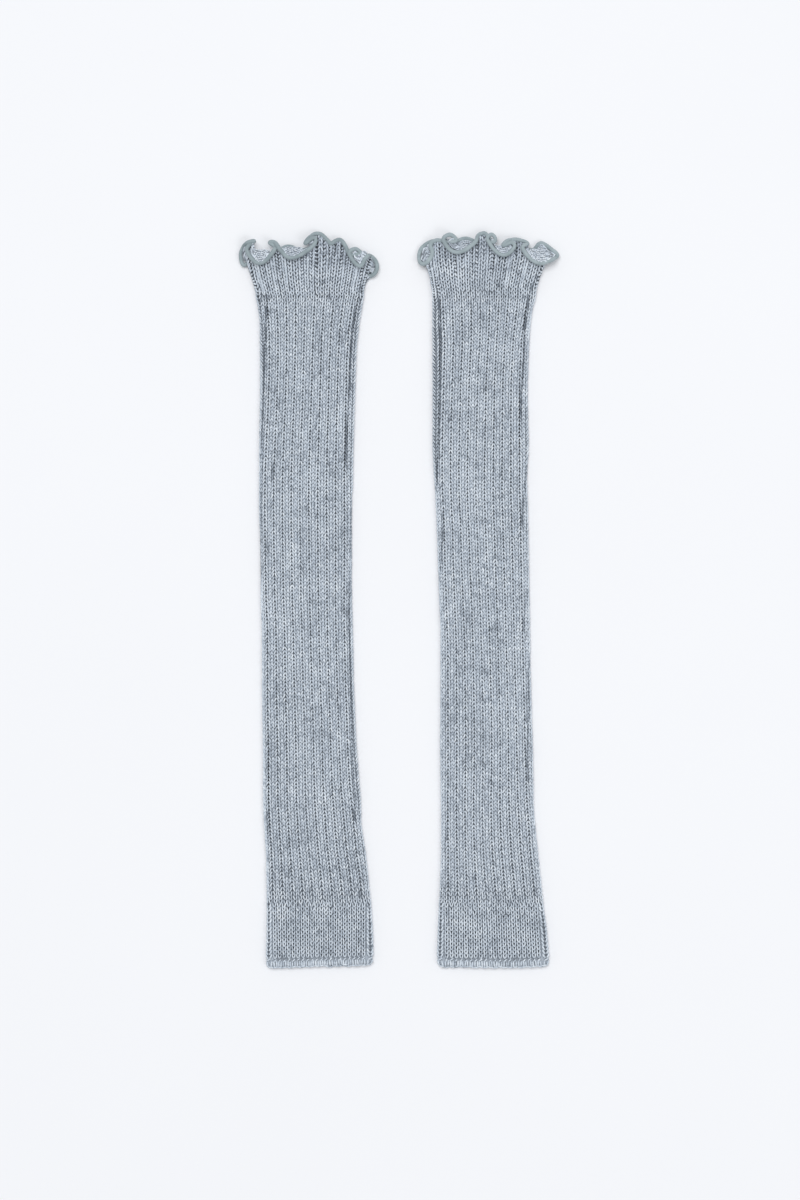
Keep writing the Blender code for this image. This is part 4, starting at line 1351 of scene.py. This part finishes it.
def build(warmer):
    side = warmer.side
    valleys = [column[::-1] for column in measured(warmer, warmer.valleys)]
    leg_tube = Tube(warmer, warmer.leg, valleys)
    cloth = leg_cloth(warmer, leg_tube)
    upper, lower = leg_stitches(warmer, leg_tube)
    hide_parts(f"{side}_leg")

    ankle = Cuff(warmer)
    cuff = cuff_cloth(warmer, ankle)
    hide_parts(f"{side}_ankle_cuff")
    name = f"{side}_cuff_stitches"
    cuff_knit = single_rib_stitches(
        warmer, name, ankle.at, CUFF_ROWS - 2, FRONT_WALES, ankle.along, CUFF_SEED, -1.0
    )
    hem_knit = hem_stitches(warmer, ankle)

    band = Band(warmer, leg_tube)
    collar = band_cloth(warmer, band)
    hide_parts(f"{side}_top_band")
    name = f"{side}_band_stitches"
    band_knit = single_rib_stitches(
        warmer, name, band.at, BAND_ROWS, ALL_WALES, band.along, BAND_SEED, 1.0
    )
    inside_knit = purl_arcs(warmer, f"{side}_band_inside_stitches", band.inside)
    roll = edge_roll(warmer)
    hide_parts(f"{side}_edge_roll")


# ---------------------------------------------------------------- floor, light and camera

# In metres and watts. From 4 m away the camera sees 1.08 m along the picture's longer side.
FLOOR_HALF = 25.0
FLOOR_Z = -0.0002
WORLD_COLOUR = (0.97, 0.985, 1.0, 1.0)
WORLD_STRENGTH = 0.53
Lamp = namedtuple("Lamp", "name place size watts")
LAMPS = table(
    Lamp,
    ("overhead", (-0.7, 2.2, 7.6), 4.4, 322.0),
    ("fill", (2.6, -1.8, 4.6), 2.4, 42.0),
)
CAMERA_PLACE = (0.00114, -0.00075, 4.004)
CAMERA_SENSOR = 36.0
CAMERA_LENS = CAMERA_SENSOR * 4.0 / 1.08


def staged(name, data, place):
    thing = bpy.data.objects.new(name, data)
    thing.location = place
    bpy.context.collection.objects.link(thing)
    return thing


def studio():
    mesh = bpy.data.meshes.new("floor")
    corners = [(x * FLOOR_HALF, y * FLOOR_HALF, 0) for x, y in ((-1, -1), (1, -1), (1, 1), (-1, 1))]
    mesh.from_pydata(corners, [], [(0, 1, 2, 3)])
    n = Nodes("pale_floor")
    grain = n.noise(n.place(), 3.0, 2.0, 0.5)
    colour = n.ramp(grain, ((0.0, (0.845, 0.853, 0.878)), (1.0, (0.865, 0.873, 0.898))))
    mesh.materials.append(n.shade({"Base Color": colour, "Roughness": 0.9}))
    floor = staged("floor", mesh, (0, 0, FLOOR_Z))

    world = bpy.data.worlds.new("studio")
    world.use_nodes = True
    background = world.node_tree.nodes["Background"]
    background.inputs["Color"].default_value = WORLD_COLOUR
    background.inputs["Strength"].default_value = WORLD_STRENGTH
    bpy.context.scene.world = world

    for lamp in LAMPS:
        data = bpy.data.lights.new(lamp.name, "AREA")
        data.shape = "DISK"
        data.size = lamp.size
        data.energy = lamp.watts
        light = staged(lamp.name, data, lamp.place)
        light.rotation_mode = "QUATERNION"
        light.rotation_quaternion = Vector(lamp.place).to_track_quat("Z", "Y")

    data = bpy.data.cameras.new("camera")
    data.sensor_width = CAMERA_SENSOR
    data.lens = CAMERA_LENS
    data.clip_end = 50
    bpy.context.scene.camera = staged("camera", data, CAMERA_PLACE)
    bpy.context.scene.view_settings.view_transform = "Standard"
    bpy.context.scene.view_settings.look = "None"


for each in (LEFT, RIGHT):
    build(each)
studio()
